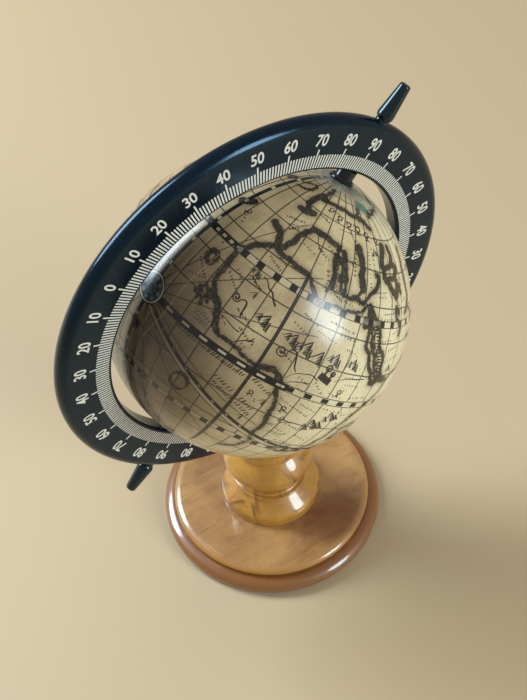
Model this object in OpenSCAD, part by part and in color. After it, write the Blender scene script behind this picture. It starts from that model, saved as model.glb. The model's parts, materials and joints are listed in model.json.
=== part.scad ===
// Small table globe: a turned wooden stand, a full meridian ring that slides
// round in a lined slot, and a paper-covered ball that spins on a polar rod.
// All sizes are in millimetres. The origin is the centre of the underside and
// +Z is up. The ring stands in the XZ plane, its scale faces -Y and the north
// pole leans towards +X.

/* [Ball] */
// Outer diameter of the finished ball
ball_d = 130; // [110:1:150]
// Lean of the polar axis from the vertical, in degrees
tilt = 42.1; // [30:0.1:60]
// Thickness of each card hemisphere
shell_t = 2; // [1.2:0.1:3]
// Thickness of the varnished paper on the hemispheres
paper_t = 0.4; // [0.2:0.1:0.8]
// Height of the card band inside the equator
band_h = 14; // [8:1:24]
// Thickness of the card band inside the equator
band_t = 1.2; // [0.8:0.1:2]

/* [Meridian ring] */
// Radial space between the ball and the ring
ring_gap = 5.6; // [5:0.1:8]
// Radial width of the ring
ring_w = 22.9; // [18:0.1:30]
// Thickness of the ring, and diameter of its rounded rim
ring_t = 8.2; // [6.4:0.1:10]
// Round on the ring's inner edges
ring_round = 1.2; // [0.4:0.1:2]
// Radius of the flat seats cut in the rim for the finials
seat_r = 2.9; // [2.8:0.1:3.1]
// Depth of those seats below the crest of the rim
seat_depth = 1; // [0.6:0.1:1.4]

/* [Polar rod and its fittings] */
// Diameter of the steel rod
rod_d = 4; // [3:0.1:4.6]
// How far the rod reaches into each finial
rod_reach = 9; // [6:0.5:12]
// Length of a finial beyond the crest of the rim
finial_l = 16.8; // [14:0.1:24]
// Radius of a finial where it is thickest
finial_r = 3.65; // [3.5:0.05:4.4]
// Radius of a finial's neck, where it meets the ring
finial_neck_r = 2.75; // [2.7:0.01:2.78]
// Radius of a finial at its tip
finial_tip_r = 2.4; // [1.8:0.1:2.8]
// Height of the thickest place above the crest of the rim
finial_swell_h = 2.7; // [2:0.1:4.6]
// Radius of the collars between ring and ball
collar_r = 4; // [3.4:0.1:5]
// Outer radius of the fibre washers
washer_r = 4.6; // [3.6:0.1:5.2]
// Thickness of the fibre washers
washer_t = 0.5; // [0.3:0.1:0.8]
// Radius of the bush's flange, which lies on the paper
flange_r = 5.4; // [5:0.1:6.5]
// Thickness of the bush's flange
flange_t = 0.7; // [0.5:0.1:1]
// Outer radius of the bush's sleeve
sleeve_r = 3.6; // [3.2:0.1:4.4]
// How far the sleeve reaches in past the card
sleeve_reach = 3; // [1:0.5:6]

/* [Foot] */
// Radius of the foot's flange
foot_r = 56.5; // [50:0.5:66]
// Height of the flange, up to the groove
flange_h = 7.4; // [6:0.1:10]
// Width of the round on the flange's upper edge
flange_round = 5.6; // [4:0.1:7]
// How far the groove lies in from the flange's edge
groove_in = 7.5; // [7.2:0.1:9]
// How far the upper disc's edge lies in from the flange's edge
disc_in = 5.8; // [5.4:0.1:7]
// Height of the upper disc above the groove
disc_h = 4.9; // [4:0.1:8]
// Width of the round on the upper disc's edge
disc_round = 4; // [2:0.1:5]
// Thickness of the felt under the foot
felt_t = 1; // [0.6:0.1:2]
// How far the felt's edge lies in from the flange's edge
felt_in = 5; // [3:0.5:10]

/* [Column] */
// Radius of the column where it stands on the foot
column_foot_r = 25; // [24.6:0.1:28]
// Greatest radius of the lower cup
cup_r = 25.4; // [25:0.1:30]
// Height of the cup's widest place above the foot
cup_belly_h = 4.6; // [3:0.1:7]
// Width of the round on the cup's shoulder
cup_shoulder = 4.6; // [3:0.1:6]
// Height of the cup
cup_h = 13.9; // [11:0.1:20]
// Radius at the groove above the cup
cup_top_r = 18; // [17.4:0.1:18.4]
// Radius of the thin fillet above the cup
fillet_r = 18.6; // [18.5:0.1:20]
// Height of the fillet
fillet_h = 1.6; // [1:0.1:2.4]
// Radius at the groove between fillet and bead
bead_groove_r = 16.4; // [15.2:0.1:16.6]
// Radius of the bead above the fillet
bead_r = 17.2; // [16.8:0.1:18]
// Height of the bead
bead_h = 2.6; // [2:0.1:5]
// Radius of the waist between bead and bulb
waist_r = 14.6; // [12:0.1:16]
// Greatest radius of the bulb
bulb_r = 22.7; // [20:0.1:24]
// Height of the bulb's widest place above the waist
bulb_belly_h = 16.6; // [12:0.1:20]
// Height of the bulb
bulb_h = 26.1; // [24:0.1:34]
// Radius of the neck between bulb and head
neck_r = 16.9; // [14:0.1:17.5]
// Radius of the head that holds the ring
head_r = 17.8; // [17.6:0.1:20]
// Height of the head
head_h = 19.5; // [17:0.1:26]
// Round on the head's top edge
head_round = 2; // [1:0.1:3]
// Height of the turned line on the head above the neck
line_h = 6.9; // [3.6:0.1:8]
// Depth of the turned line on the head
line_d = 0.5; // [0.2:0.1:0.8]

/* [Slot and its lining] */
// How deep the rim of the ring sits below the head's top
slot_depth = 9.3; // [8:0.1:12]
// Thickness of the felt that lines the slot
lining_t = 0.8; // [0.5:0.1:1.2]
// Space between each face of the ring and the felt
face_gap = 0.15; // [0.1:0.05:0.3]
// Space between the rim of the ring and the felt
rim_gap = 0.3; // [0.2:0.05:0.4]

/* [Joint of column and foot] */
// Radius of the tenon under the column
tenon_r = 8; // [6:0.1:10]
// Length of the tenon
tenon_l = 5.6; // [4:0.1:6]
// Radius of the screw's shank
screw_r = 2; // [1.5:0.1:2.5]
// Length of the screw under its head
screw_l = 28; // [20:1:36]
// Radius of the screw's head
screw_head_r = 4; // [3.4:0.1:5]
// Height of the screw's head
screw_head_h = 1.9; // [1.4:0.1:2.2]
// Outer radius of the screw's washer
screw_washer_r = 5.6; // [5.2:0.1:6.6]
// Thickness of the screw's washer
screw_washer_t = 0.6; // [0.4:0.1:1]

/* [Hidden] */

// Clearances
run_gap = 0.05;      // radial, between the rod and what turns on it
fixed_gap = 0.02;    // radial, where the rod is held fast
glue_gap = 0.02;     // between glued layers
seat_gap = 0.1;      // where one fixed piece stands in another
end_gap = 0.1;       // along the rod, between what turns and what stays
over = 1;            // how far a cutting shape runs past the piece it cuts

// Colours
wood = [0.72, 0.47, 0.20];
black = [0.06, 0.065, 0.07];
paper = [0.72, 0.62, 0.44];
card = [0.62, 0.56, 0.46];
steel = [0.68, 0.68, 0.70];
felt = [0.16, 0.30, 0.18];
fibre = [0.45, 0.20, 0.12];

// Ball
ball_r = ball_d / 2;
shell_r = ball_r - paper_t;
shell_in_r = shell_r - shell_t;
seam_half = 0.05;
rod_r = rod_d / 2;

// Ring
ring_in_r = ball_r + ring_gap;
ring_out_r = ring_in_r + ring_w;
rim_r = ring_t / 2;
ring_seat = ring_out_r - seat_depth;
rod_half = ring_out_r + rod_reach;

// Stack of fittings at each pole, as distances from the ball's centre
flange_top = ball_r + flange_t;
washer_low = flange_top + glue_gap;
washer_top = washer_low + washer_t;
collar_low = washer_top + end_gap;
collar_top = sqrt(pow(ring_in_r, 2) - pow(collar_r, 2)) - seat_gap;

// Heights of the stand
foot_low = felt_t;
groove_z = foot_low + flange_h;
foot_top = groove_z + disc_h;
cup_top = foot_top + cup_h;
bead_low = cup_top + fillet_h;
waist_z = bead_low + bead_h;
neck_z = waist_z + bulb_h;
head_top = neck_z + head_h;
ring_low = head_top - slot_depth;
centre_z = ring_low + ring_out_r;

// Slot
slot_half = ring_t / 2 + face_gap + lining_t;
lining_half = ring_t / 2 + face_gap;
slot_floor_r = ring_out_r + rim_gap + lining_t;
lining_floor_r = ring_out_r + rim_gap;

// Screw, counted up from the felt
recess_h = screw_head_h + screw_washer_t + seat_gap;
screw_head_low = foot_low + seat_gap;
screw_seat = screw_head_low + screw_head_h;
cross_half = 0.5;

$fn = 96;

// Points [radius, height] of an arc of an ellipse, from angle a to angle b
function arc(centre, radii, a, b, n = 10) =
    [for (i = [0 : n]) let (t = a + (b - a) * i / n)
        [centre[0] + radii[0] * cos(t), centre[1] + radii[1] * sin(t)]];

// Points of a turned swell, from a groove [radius, height] to a belly. It leaves
// the groove at a slope and reaches the belly upright. Fullness under 1 is rounder
function swell(groove, belly, fullness = 1, n = 10) =
    [for (i = [0 : n]) let (t = i / n)
        [groove[0] + (belly[0] - groove[0]) * pow(sin(90 * t), fullness),
         groove[1] + (belly[1] - groove[1]) * t]];

function backwards(points) = [for (i = [len(points) - 1 : -1 : 0]) points[i]];

// Places a piece drawn along +Z from the ball's centre onto a pole's axis
module at_pole(side) {
    translate([0, 0, centre_z])
        rotate([0, side > 0 ? tilt : tilt + 180, 0])
            children();
}

module tube(outer, inner, low, high) {
    translate([0, 0, low])
        difference() {
            cylinder(r = outer, h = high - low);
            translate([0, 0, -over])
                cylinder(r = inner, h = high - low + 2 * over);
        }
}

// Stand

module base_disc() {
    bottom_round = 1.6;
    belly_z = foot_low + bottom_round + 1.2;
    groove_r = foot_r - groove_in;
    disc_r = foot_r - disc_in;
    disc_belly_z = groove_z + 1.9;
    outline = concat(
        [[0, foot_low]],
        arc([foot_r - bottom_round, foot_low + bottom_round], [bottom_round, bottom_round], -90, 0, 6),
        arc([foot_r - flange_round, belly_z], [flange_round, groove_z - 0.5 - belly_z], 0, 90, 12),
        [[groove_r + 0.5, groove_z - 0.4], [groove_r, groove_z]],
        swell([groove_r, groove_z + 0.3], [disc_r, disc_belly_z], 1, 6),
        arc([disc_r - disc_round, disc_belly_z + 0.3], [disc_round, foot_top - disc_belly_z - 0.3], 0, 90, 12),
        [[0, foot_top]]);
    color(wood)
        difference() {
            rotate_extrude($fn = 180) polygon(outline);
            translate([0, 0, foot_top - tenon_l - 2 * seat_gap])
                cylinder(r = tenon_r + seat_gap, h = tenon_l + over);
            translate([0, 0, foot_low - over])
                cylinder(r = screw_r + seat_gap, h = foot_top);
            translate([0, 0, foot_low - over])
                cylinder(r = screw_washer_r + seat_gap, h = recess_h + over);
        }
}

module base_felt() {
    color(felt) cylinder(r = foot_r - felt_in, h = felt_t, $fn = 180);
}

module column() {
    line_z = neck_z + line_h;
    line_half = 0.6;
    neck_flare = 2.4;
    outline = concat(
        [[0, foot_top - tenon_l], [tenon_r, foot_top - tenon_l], [tenon_r, foot_top]],
        backwards(swell([cup_r, foot_top + cup_belly_h], [column_foot_r, foot_top], 1, 4)),
        arc([cup_r - cup_shoulder, foot_top + cup_belly_h], [cup_shoulder, cup_shoulder * 1.1], 0, 50, 8),
        [[cup_top_r, cup_top]],
        arc([cup_top_r, cup_top + fillet_h * 0.45], [fillet_r - cup_top_r, fillet_h * 0.45], -60, 90, 6),
        [[bead_groove_r, bead_low]],
        arc([waist_r, bead_low + bead_h * 0.45], [bead_r - waist_r, bead_h * 0.45], -30, 90, 8),
        swell([waist_r, waist_z], [bulb_r, waist_z + bulb_belly_h], 1, 14),
        backwards(swell([neck_r, neck_z], [bulb_r, waist_z + bulb_belly_h], 1, 12)),
        swell([neck_r, neck_z + 0.4], [head_r, neck_z + neck_flare], 1, 5),
        [[head_r, line_z - line_half], [head_r - line_d, line_z], [head_r, line_z + line_half]],
        arc([head_r - head_round, head_top - head_round], [head_round, head_round], 0, 90, 8),
        [[0, head_top]]);
    color(wood)
        difference() {
            rotate_extrude($fn = 120) polygon(outline);
            slot_shape(slot_half, slot_floor_r, head_r + over);
            translate([0, 0, foot_top - tenon_l - over])
                cylinder(r = screw_r + fixed_gap, h = screw_l, $fn = 48);
        }
}

// The space that a disc with its centre at the ball's centre sweeps in the head
module slot_shape(half, floor_r, reach) {
    intersection() {
        translate([-reach, -half, 0])
            cube([2 * reach, 2 * half, head_top + over]);
        translate([0, 0, centre_z])
            rotate([90, 0, 0])
                cylinder(r = floor_r, h = 2 * half + 2 * over, center = true, $fn = 240);
    }
}

module slot_lining() {
    color(felt)
        difference() {
            intersection() {
                slot_shape(slot_half - glue_gap, slot_floor_r - glue_gap, head_r);
                cylinder(r = head_r - head_round, h = head_top - seat_gap);
            }
            slot_shape(lining_half, lining_floor_r, head_r + over);
        }
}

module column_screw() {
    color(steel)
        difference() {
            union() {
                translate([0, 0, screw_head_low])
                    rotate_extrude($fn = 48)
                        polygon(concat(
                            [[0, 0]],
                            arc([screw_head_r - 0.8, 0.9], [0.8, 0.9], -90, 0, 5),
                            [[screw_head_r, screw_head_h], [0, screw_head_h]]));
                translate([0, 0, screw_seat])
                    cylinder(r = screw_r, h = screw_l - 3 * screw_r, $fn = 48);
                translate([0, 0, screw_seat + screw_l - 3 * screw_r])
                    cylinder(r1 = screw_r, r2 = 0.3, h = 2 * screw_r, $fn = 48);
            }
            for (turn = [0, 90])
                translate([0, 0, screw_head_low])
                    rotate([0, 0, turn])
                        cube([screw_head_r, 2 * cross_half, screw_head_h], center = true);
        }
}

module screw_washer() {
    color(steel)
        tube(screw_washer_r, screw_r + seat_gap, screw_seat, screw_seat + screw_washer_t);
}

// Meridian ring

module meridian_ring() {
    color(black)
        translate([0, 0, centre_z])
            difference() {
                rotate([90, 0, 0])
                    rotate_extrude($fn = 240)
                        union() {
                            polygon(concat(
                                arc([ring_in_r + ring_round, ring_round - rim_r],
                                    [ring_round, ring_round], 180, 270, 8),
                                [[ring_out_r - rim_r, -rim_r], [ring_out_r - rim_r, rim_r]],
                                arc([ring_in_r + ring_round, rim_r - ring_round],
                                    [ring_round, ring_round], 90, 180, 8)));
                            translate([ring_out_r - rim_r, 0]) circle(r = rim_r, $fn = 48);
                        }
                rotate([0, tilt, 0]) {
                    cylinder(r = rod_r + fixed_gap, h = 2 * (ring_out_r + over), center = true, $fn = 48);
                    for (side = [-1, 1])
                        translate([0, 0, side * (ring_seat + over)])
                            cylinder(r = seat_r, h = 2 * over, center = true, $fn = 48);
                }
            }
}

module axis_rod() {
    point = 0.5;
    color(steel)
        translate([0, 0, centre_z])
            rotate([0, tilt, 0]) {
                cylinder(r = rod_r, h = 2 * (rod_half - point), center = true, $fn = 48);
                for (side = [0, 180])
                    rotate([side, 0, 0])
                        translate([0, 0, rod_half - point])
                            cylinder(r1 = rod_r, r2 = rod_r - point, h = point, $fn = 48);
            }
}

module finial(side) {
    tip_round = 1.1;
    tip = ring_out_r + finial_l;
    swell_z = ring_out_r + finial_swell_h;
    outline = concat(
        [[0, ring_seat], [finial_neck_r, ring_seat], [finial_neck_r, ring_out_r + 0.5]],
        swell([finial_neck_r, ring_out_r + 0.6], [finial_r, swell_z], 0.8, 6),
        arc([finial_tip_r - tip_round, tip - tip_round], [tip_round, tip_round], 8, 90, 6),
        [[0, tip]]);
    color(black)
        at_pole(side)
            difference() {
                rotate_extrude($fn = 64) polygon(outline);
                translate([0, 0, ring_seat - over])
                    cylinder(r = rod_r + fixed_gap, h = rod_half + seat_gap - ring_seat + over, $fn = 48);
            }
}

module collar(side) {
    color(black)
        at_pole(side)
            tube(collar_r, rod_r + fixed_gap, collar_low, collar_top);
}

module north_finial() { finial(1); }
module south_finial() { finial(-1); }
module north_collar() { collar(1); }
module south_collar() { collar(-1); }

// Ball

// One half of a hollow ball with a hole at its pole
module half_ball(outer, inner, hole) {
    difference() {
        sphere(r = outer, $fn = 180);
        sphere(r = inner, $fn = 180);
        translate([-outer - over, -outer - over, -outer - over])
            cube([2 * (outer + over), 2 * (outer + over), outer + over + seam_half]);
        cylinder(r = hole, h = outer + over);
    }
}

module shell(side) {
    color(card)
        at_pole(side)
            half_ball(shell_r, shell_in_r, sleeve_r + seat_gap);
}

module map(side) {
    color(paper)
        at_pole(side)
            half_ball(ball_r, shell_r + glue_gap, sleeve_r + seat_gap);
}

module bush(side) {
    sleeve_low = shell_in_r - sleeve_reach;
    color(black)
        at_pole(side) {
            tube(flange_r, rod_r + run_gap, ball_r, flange_top);
            tube(sleeve_r, rod_r + run_gap, sleeve_low, ball_r);
        }
}

module washer(side) {
    color(fibre)
        at_pole(side)
            tube(washer_r, rod_r + run_gap, washer_low, washer_top);
}

module equator_band() {
    color(card)
        at_pole(1)
            intersection() {
                difference() {
                    sphere(r = shell_in_r - seat_gap, $fn = 180);
                    sphere(r = shell_in_r - seat_gap - band_t, $fn = 180);
                }
                cylinder(r = ball_r, h = band_h, center = true);
            }
}

module north_shell() { shell(1); }
module south_shell() { shell(-1); }
module north_map() { map(1); }
module south_map() { map(-1); }
module north_bush() { bush(1); }
module south_bush() { bush(-1); }
module north_washer() { washer(1); }
module south_washer() { washer(-1); }

base_disc();
base_felt();
column();
column_screw();
screw_washer();
slot_lining();
meridian_ring();
axis_rod();
north_finial();
south_finial();
north_collar();
south_collar();
north_shell();
south_shell();
equator_band();
north_map();
south_map();
north_bush();
south_bush();
north_washer();
south_washer();
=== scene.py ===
"""Looks of a small table globe: a varnished paper ball on a polar rod in a black degree ring, on a
turned wooden stand. Each piece has its own operator, and the panel in the sidebar lists them all."""
import json
import math
import random
from contextlib import contextmanager

import bpy
import numpy as np
from mathutils import Matrix, Vector, kdtree


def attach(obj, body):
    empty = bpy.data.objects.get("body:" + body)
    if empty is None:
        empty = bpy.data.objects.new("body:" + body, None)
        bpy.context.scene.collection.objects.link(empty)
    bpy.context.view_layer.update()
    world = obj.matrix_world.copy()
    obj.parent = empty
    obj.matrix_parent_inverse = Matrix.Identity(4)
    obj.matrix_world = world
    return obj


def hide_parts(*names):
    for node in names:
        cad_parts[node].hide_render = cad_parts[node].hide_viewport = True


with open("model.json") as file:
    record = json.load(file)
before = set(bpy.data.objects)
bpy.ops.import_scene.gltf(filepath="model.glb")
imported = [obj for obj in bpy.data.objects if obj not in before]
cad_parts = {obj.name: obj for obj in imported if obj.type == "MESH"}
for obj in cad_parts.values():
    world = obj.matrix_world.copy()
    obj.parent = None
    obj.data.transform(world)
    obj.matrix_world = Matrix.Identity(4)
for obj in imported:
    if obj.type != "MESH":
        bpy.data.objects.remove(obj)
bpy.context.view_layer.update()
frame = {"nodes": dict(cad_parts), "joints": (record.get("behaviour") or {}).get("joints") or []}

bl_info = {
    "name": "Table globe",
    "version": (1, 0, 0),
    "blender": (4, 5, 0),
    "location": "View3D > Sidebar > Globe",
    "description": "Builds a small table globe around its packed parts",
    "category": "Add Mesh",
}

MM = 0.001
WELD = 1e-7
CENTRE = Vector(frame["joints"][1]["pos_m"])
POLE = Vector(frame["joints"][1]["axis"]).normalized()
TILT = math.atan2(POLE.x, POLE.z)
# Turns a piece made upright round its own axis onto the polar axis
NORTH = Matrix.Translation(CENTRE) @ Matrix.Rotation(TILT, 4, "Y")
SOUTH = Matrix.Translation(CENTRE) @ Matrix.Rotation(TILT + math.pi, 4, "Y")
# Turns a piece made flat on the ground onto the plane of the ring, its top towards the front
UPRIGHT = Matrix.Translation(CENTRE) @ Matrix.Rotation(math.radians(90), 4, "X")


# Sizes and colours

def length(name, description, millimetres):
    return bpy.props.FloatProperty(name=name, description=description, default=millimetres * MM,
                                   min=0, precision=5, unit="LENGTH")


def colour(name, description, red, green, blue):
    return bpy.props.FloatVectorProperty(name=name, description=description, size=4, min=0, max=1,
                                         default=(red, green, blue, 1), subtype="COLOR")


class StandSizes(bpy.types.PropertyGroup):
    """Sizes of the foot and the column"""
    felt_height: length("Felt height", "Thickness of the felt under the foot", 1)
    foot_radius: length("Foot radius", "Radius of the foot's flange", 56.5)
    groove_height: length("Groove height", "Height of the groove in the foot's edge", 8.4)
    groove_radius: length("Groove radius", "Radius at the bottom of the groove", 49)
    disc_radius: length("Disc radius", "Radius of the foot's upper disc", 50.7)
    foot_height: length("Foot height", "Height of the foot's top face", 13.3)
    socket_radius: length("Socket radius", "Radius of the socket for the column's tenon", 8.1)
    screw_hole_radius: length("Screw hole radius", "Radius of the screw's hole in the foot", 2.1)
    recess_radius: length("Recess radius", "Radius of the recess for the screw's head", 5.7)
    cup_radius: length("Cup radius", "Greatest radius of the column's lower cup", 25.4)
    bulb_radius: length("Bulb radius", "Greatest radius of the column's bulb", 22.7)
    fillet_radius: length("Fillet radius", "Radius of the thin fillet above the cup", 18.6)
    bead_radius: length("Bead radius", "Radius of the bead between fillet and bulb", 17.2)
    waist_radius: length("Waist radius", "Radius of the waist under the bulb", 14.6)
    head_radius: length("Head radius", "Radius of the head that holds the ring", 17.8)
    column_height: length("Column height", "Height of the head's top face", 77)
    slot_width: length("Slot width", "Width of the slot in the head", 10.1)
    slot_radius: length("Slot radius", "Radius of the slot's floor, from the ball's centre", 94.6)


class RingSizes(bpy.types.PropertyGroup):
    """Sizes of the ring and its scale"""
    inner_radius: length("Inner radius", "Inner radius of the ring", 70.6)
    outer_radius: length("Outer radius", "Outer radius of the ring", 93.495)
    thickness: length("Thickness", "Thickness of the ring", 8.2)
    edge_round: length("Edge round", "Round on the inner edges", 1.2)
    rod_hole_radius: length("Rod hole radius", "Radius of the hole for the polar rod", 2.02)
    seat_radius: length("Seat radius", "Radius of the finial seats", 2.9)
    seat_distance: length("Seat distance", "Distance of the finial seats from the centre", 92.5)
    tick_start: length("Tick start", "Radius at which the degree marks begin", 71.95)
    tick_end: length("Tick end", "Radius at which the one-degree marks end", 77.8)
    long_tick_end: length("Long tick end", "Radius at which the ten-degree marks end", 80.5)
    tick_width: length("Tick width", "Width of a degree mark", 0.66)
    numeral_radius: length("Numeral radius", "Radius of the middle of the numerals", 84.65)
    numeral_height: length("Numeral height", "Height of the numerals", 5.4)
    numeral_squeeze: bpy.props.FloatProperty(name="Numeral squeeze", default=0.80, min=0.4, max=1.5,
                                             description="Width of the numerals against their font")
    print_height: length("Print height", "How far the print stands off the ring", 0.03)


class BallSizes(bpy.types.PropertyGroup):
    """Sizes of the ball and its map"""
    radius: length("Radius", "Outer radius of the papered ball", 64.97)
    inner_radius: length("Inner radius", "Radius of the paper's inner face", 64.62)
    pole_hole_radius: length("Pole hole radius", "Radius of the paper's hole at a pole", 4.2)
    line_width: length("Line width", "Width of the thin lines of the map", 0.52)
    ink_rise: length("Ink rise", "How far the printed signs stand off the paper", 0.022)
    medallion_radius: length("Medallion radius", "Radius of the printed compass medallion", 6.5)


class GlobeColours(bpy.types.PropertyGroup):
    """Colours of all pieces and the floor"""
    # The foot's colours are its wood's figure, paled by a painted sheen on its varnished top
    foot_light: colour("Light foot", "Light figure of the foot's wood", 0.49, 0.268, 0.090)
    foot_dark: colour("Dark foot", "Dark figure of the foot's wood", 0.26, 0.100, 0.030)
    wood_light: colour("Light column", "Light figure of the column's wood", 0.60, 0.29, 0.034)
    wood_dark: colour("Dark column", "Dark figure of the column's wood", 0.30, 0.11, 0.012)
    ring_black: colour("Ring", "Moulded black of the ring", 0.0015, 0.006, 0.012)
    finial_black: colour("Finials", "Moulded black of finials and bushes", 0.003, 0.006, 0.010)
    print_white: colour("Scale print", "Printed degree marks and numerals", 0.78, 0.75, 0.66)
    paper: colour("Paper", "Aged paper of the map", 0.80, 0.65, 0.37)
    paper_dark: colour("Dark paper", "Stained paper of the map", 0.36, 0.25, 0.12)
    ink: colour("Ink", "Printed lines of the map", 0.007, 0.0065, 0.006)
    felt: colour("Felt", "Felt under the foot and in the slot", 0.030, 0.085, 0.040)
    steel: colour("Steel", "Rod, screw and washer", 0.55, 0.55, 0.57)
    card: colour("Card", "Pressed card of the hollow ball", 0.38, 0.29, 0.18)
    fibre: colour("Fibre", "Fibre washers", 0.020, 0.013, 0.011)
    floor: colour("Floor", "Plain floor", 0.535, 0.40, 0.245)


# Helpers for materials

def tinted(tint, share):
    """A darker or lighter shade of a colour."""
    return tuple(part * share for part in tint[:3]) + (1,)


class Pattern:
    """A number that varies over a surface, for sums in a material."""

    def __init__(self, recipe, socket):
        self.recipe, self.socket = recipe, socket

    def __add__(self, other):
        return self.recipe.math("ADD", self, other)

    def __sub__(self, other):
        return self.recipe.math("SUBTRACT", self, other)

    def __rsub__(self, other):
        return self.recipe.math("SUBTRACT", other, self)

    def __mul__(self, other):
        return self.recipe.math("MULTIPLY", self, other)

    def __or__(self, other):
        return self.recipe.math("MAXIMUM", self, other)

    def __abs__(self):
        return self.recipe.math("ABSOLUTE", self)

    def __lt__(self, other):
        return self.recipe.math("LESS_THAN", self, other)

    def __gt__(self, other):
        return self.recipe.math("GREATER_THAN", self, other)

    __radd__, __rmul__, __ror__ = __add__, __mul__, __or__


class Recipe:
    """A material and its nodes. Each call adds one step and gives its output."""

    def __init__(self, name):
        self.material = bpy.data.materials.new(name)
        self.material.use_nodes = True
        self.tree = self.material.node_tree
        self.shader = self.tree.nodes["Principled BSDF"]

    def add(self, kind, inputs=None, **settings):
        node = self.tree.nodes.new(kind)
        for name, value in settings.items():
            setattr(node, name, value)
        self.feed(node, inputs or {})
        return node

    def feed(self, node, inputs):
        """Links patterns and sockets to a node's inputs, and sets the others to plain values."""
        for name, value in inputs.items():
            if isinstance(value, Pattern):
                value = value.socket
            if isinstance(value, bpy.types.NodeSocket):
                self.tree.links.new(value, node.inputs[name])
            else:
                node.inputs[name].default_value = value

    def finish(self, **inputs):
        """Feeds the shader. An underscore in a name stands for a space."""
        self.feed(self.shader, {name.replace("_", " "): value for name, value in inputs.items()})
        return self.material

    def math(self, operation, *values, clamp=False):
        return Pattern(self, self.add("ShaderNodeMath", dict(enumerate(values)), operation=operation,
                                      use_clamp=clamp).outputs[0])

    def place(self):
        """Where on the piece the surface is, in its own axes."""
        return self.add("ShaderNodeTexCoord").outputs["Object"]

    def attribute(self, name):
        """A number that the mesh keeps for each of its points."""
        return Pattern(self, self.add("ShaderNodeAttribute", attribute_name=name).outputs["Fac"])

    def parts(self, vector):
        """The three parts of a vector."""
        return [Pattern(self, part) for part in self.add("ShaderNodeSeparateXYZ", {0: vector}).outputs]

    def mapped(self, vector, scale=(1, 1, 1), location=(0, 0, 0), rotation=(0, 0, 0), kind="POINT"):
        return self.add("ShaderNodeMapping", {
            "Vector": vector, "Location": location, "Rotation": rotation, "Scale": scale},
            vector_type=kind).outputs[0]

    def noise(self, vector, scale, detail=4.0, roughness=0.5, distortion=0.0):
        """Cloudy noise. The scale is about how many clouds lie along a metre."""
        return Pattern(self, self.add("ShaderNodeTexNoise", {
            "Vector": vector, "Scale": scale, "Detail": detail, "Roughness": roughness,
            "Distortion": distortion}).outputs[0])

    def ranged(self, value, low, high, to_low=0.0, to_high=1.0):
        """The value moved from one range to another, and held at its ends."""
        return Pattern(self, self.add("ShaderNodeMapRange", {
            "Value": value, "From Min": low, "From Max": high, "To Min": to_low,
            "To Max": to_high}).outputs[0])

    def reach(self, across, up):
        """How far a place is, from how far it lies across and up."""
        return self.math("SQRT", across * across + up * up)

    def within(self, distance, half, soft=0.08):
        """1 where the distance is under half, falling to 0 over a soft edge."""
        return self.ranged(distance, half - soft, half + soft, 1.0, 0.0)

    def mix(self, share, low, high):
        """The low colour where the share is 0, and the high one where it is 1."""
        node = self.add("ShaderNodeMix", data_type="RGBA")
        self.feed(node, {0: share, 6: low, 7: high})
        return node.outputs[2]

    def laid(self, shade, *layers):
        """The shade under layers, each with its share and its tint."""
        for share, tint in layers:
            shade = self.mix(share, shade, tint)
        return shade

    def bump(self, height, strength, distance):
        return self.add("ShaderNodeBump", {"Height": height, "Strength": strength,
                                           "Distance": distance}).outputs[0]


# Browns that lie over the figure of the wood; the last of them is a painted shadow
FLECK_BROWN = (0.15, 0.050, 0.012, 1)
STAIN_BROWN = (0.15, 0.048, 0.010, 1)
EDGE_AMBER = (0.46, 0.20, 0.034, 1)
RIM_BROWN = (0.17, 0.046, 0.006, 1)
PAINTED_SHADOW_BROWN = (0.155, 0.036, 0.014, 1)


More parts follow.
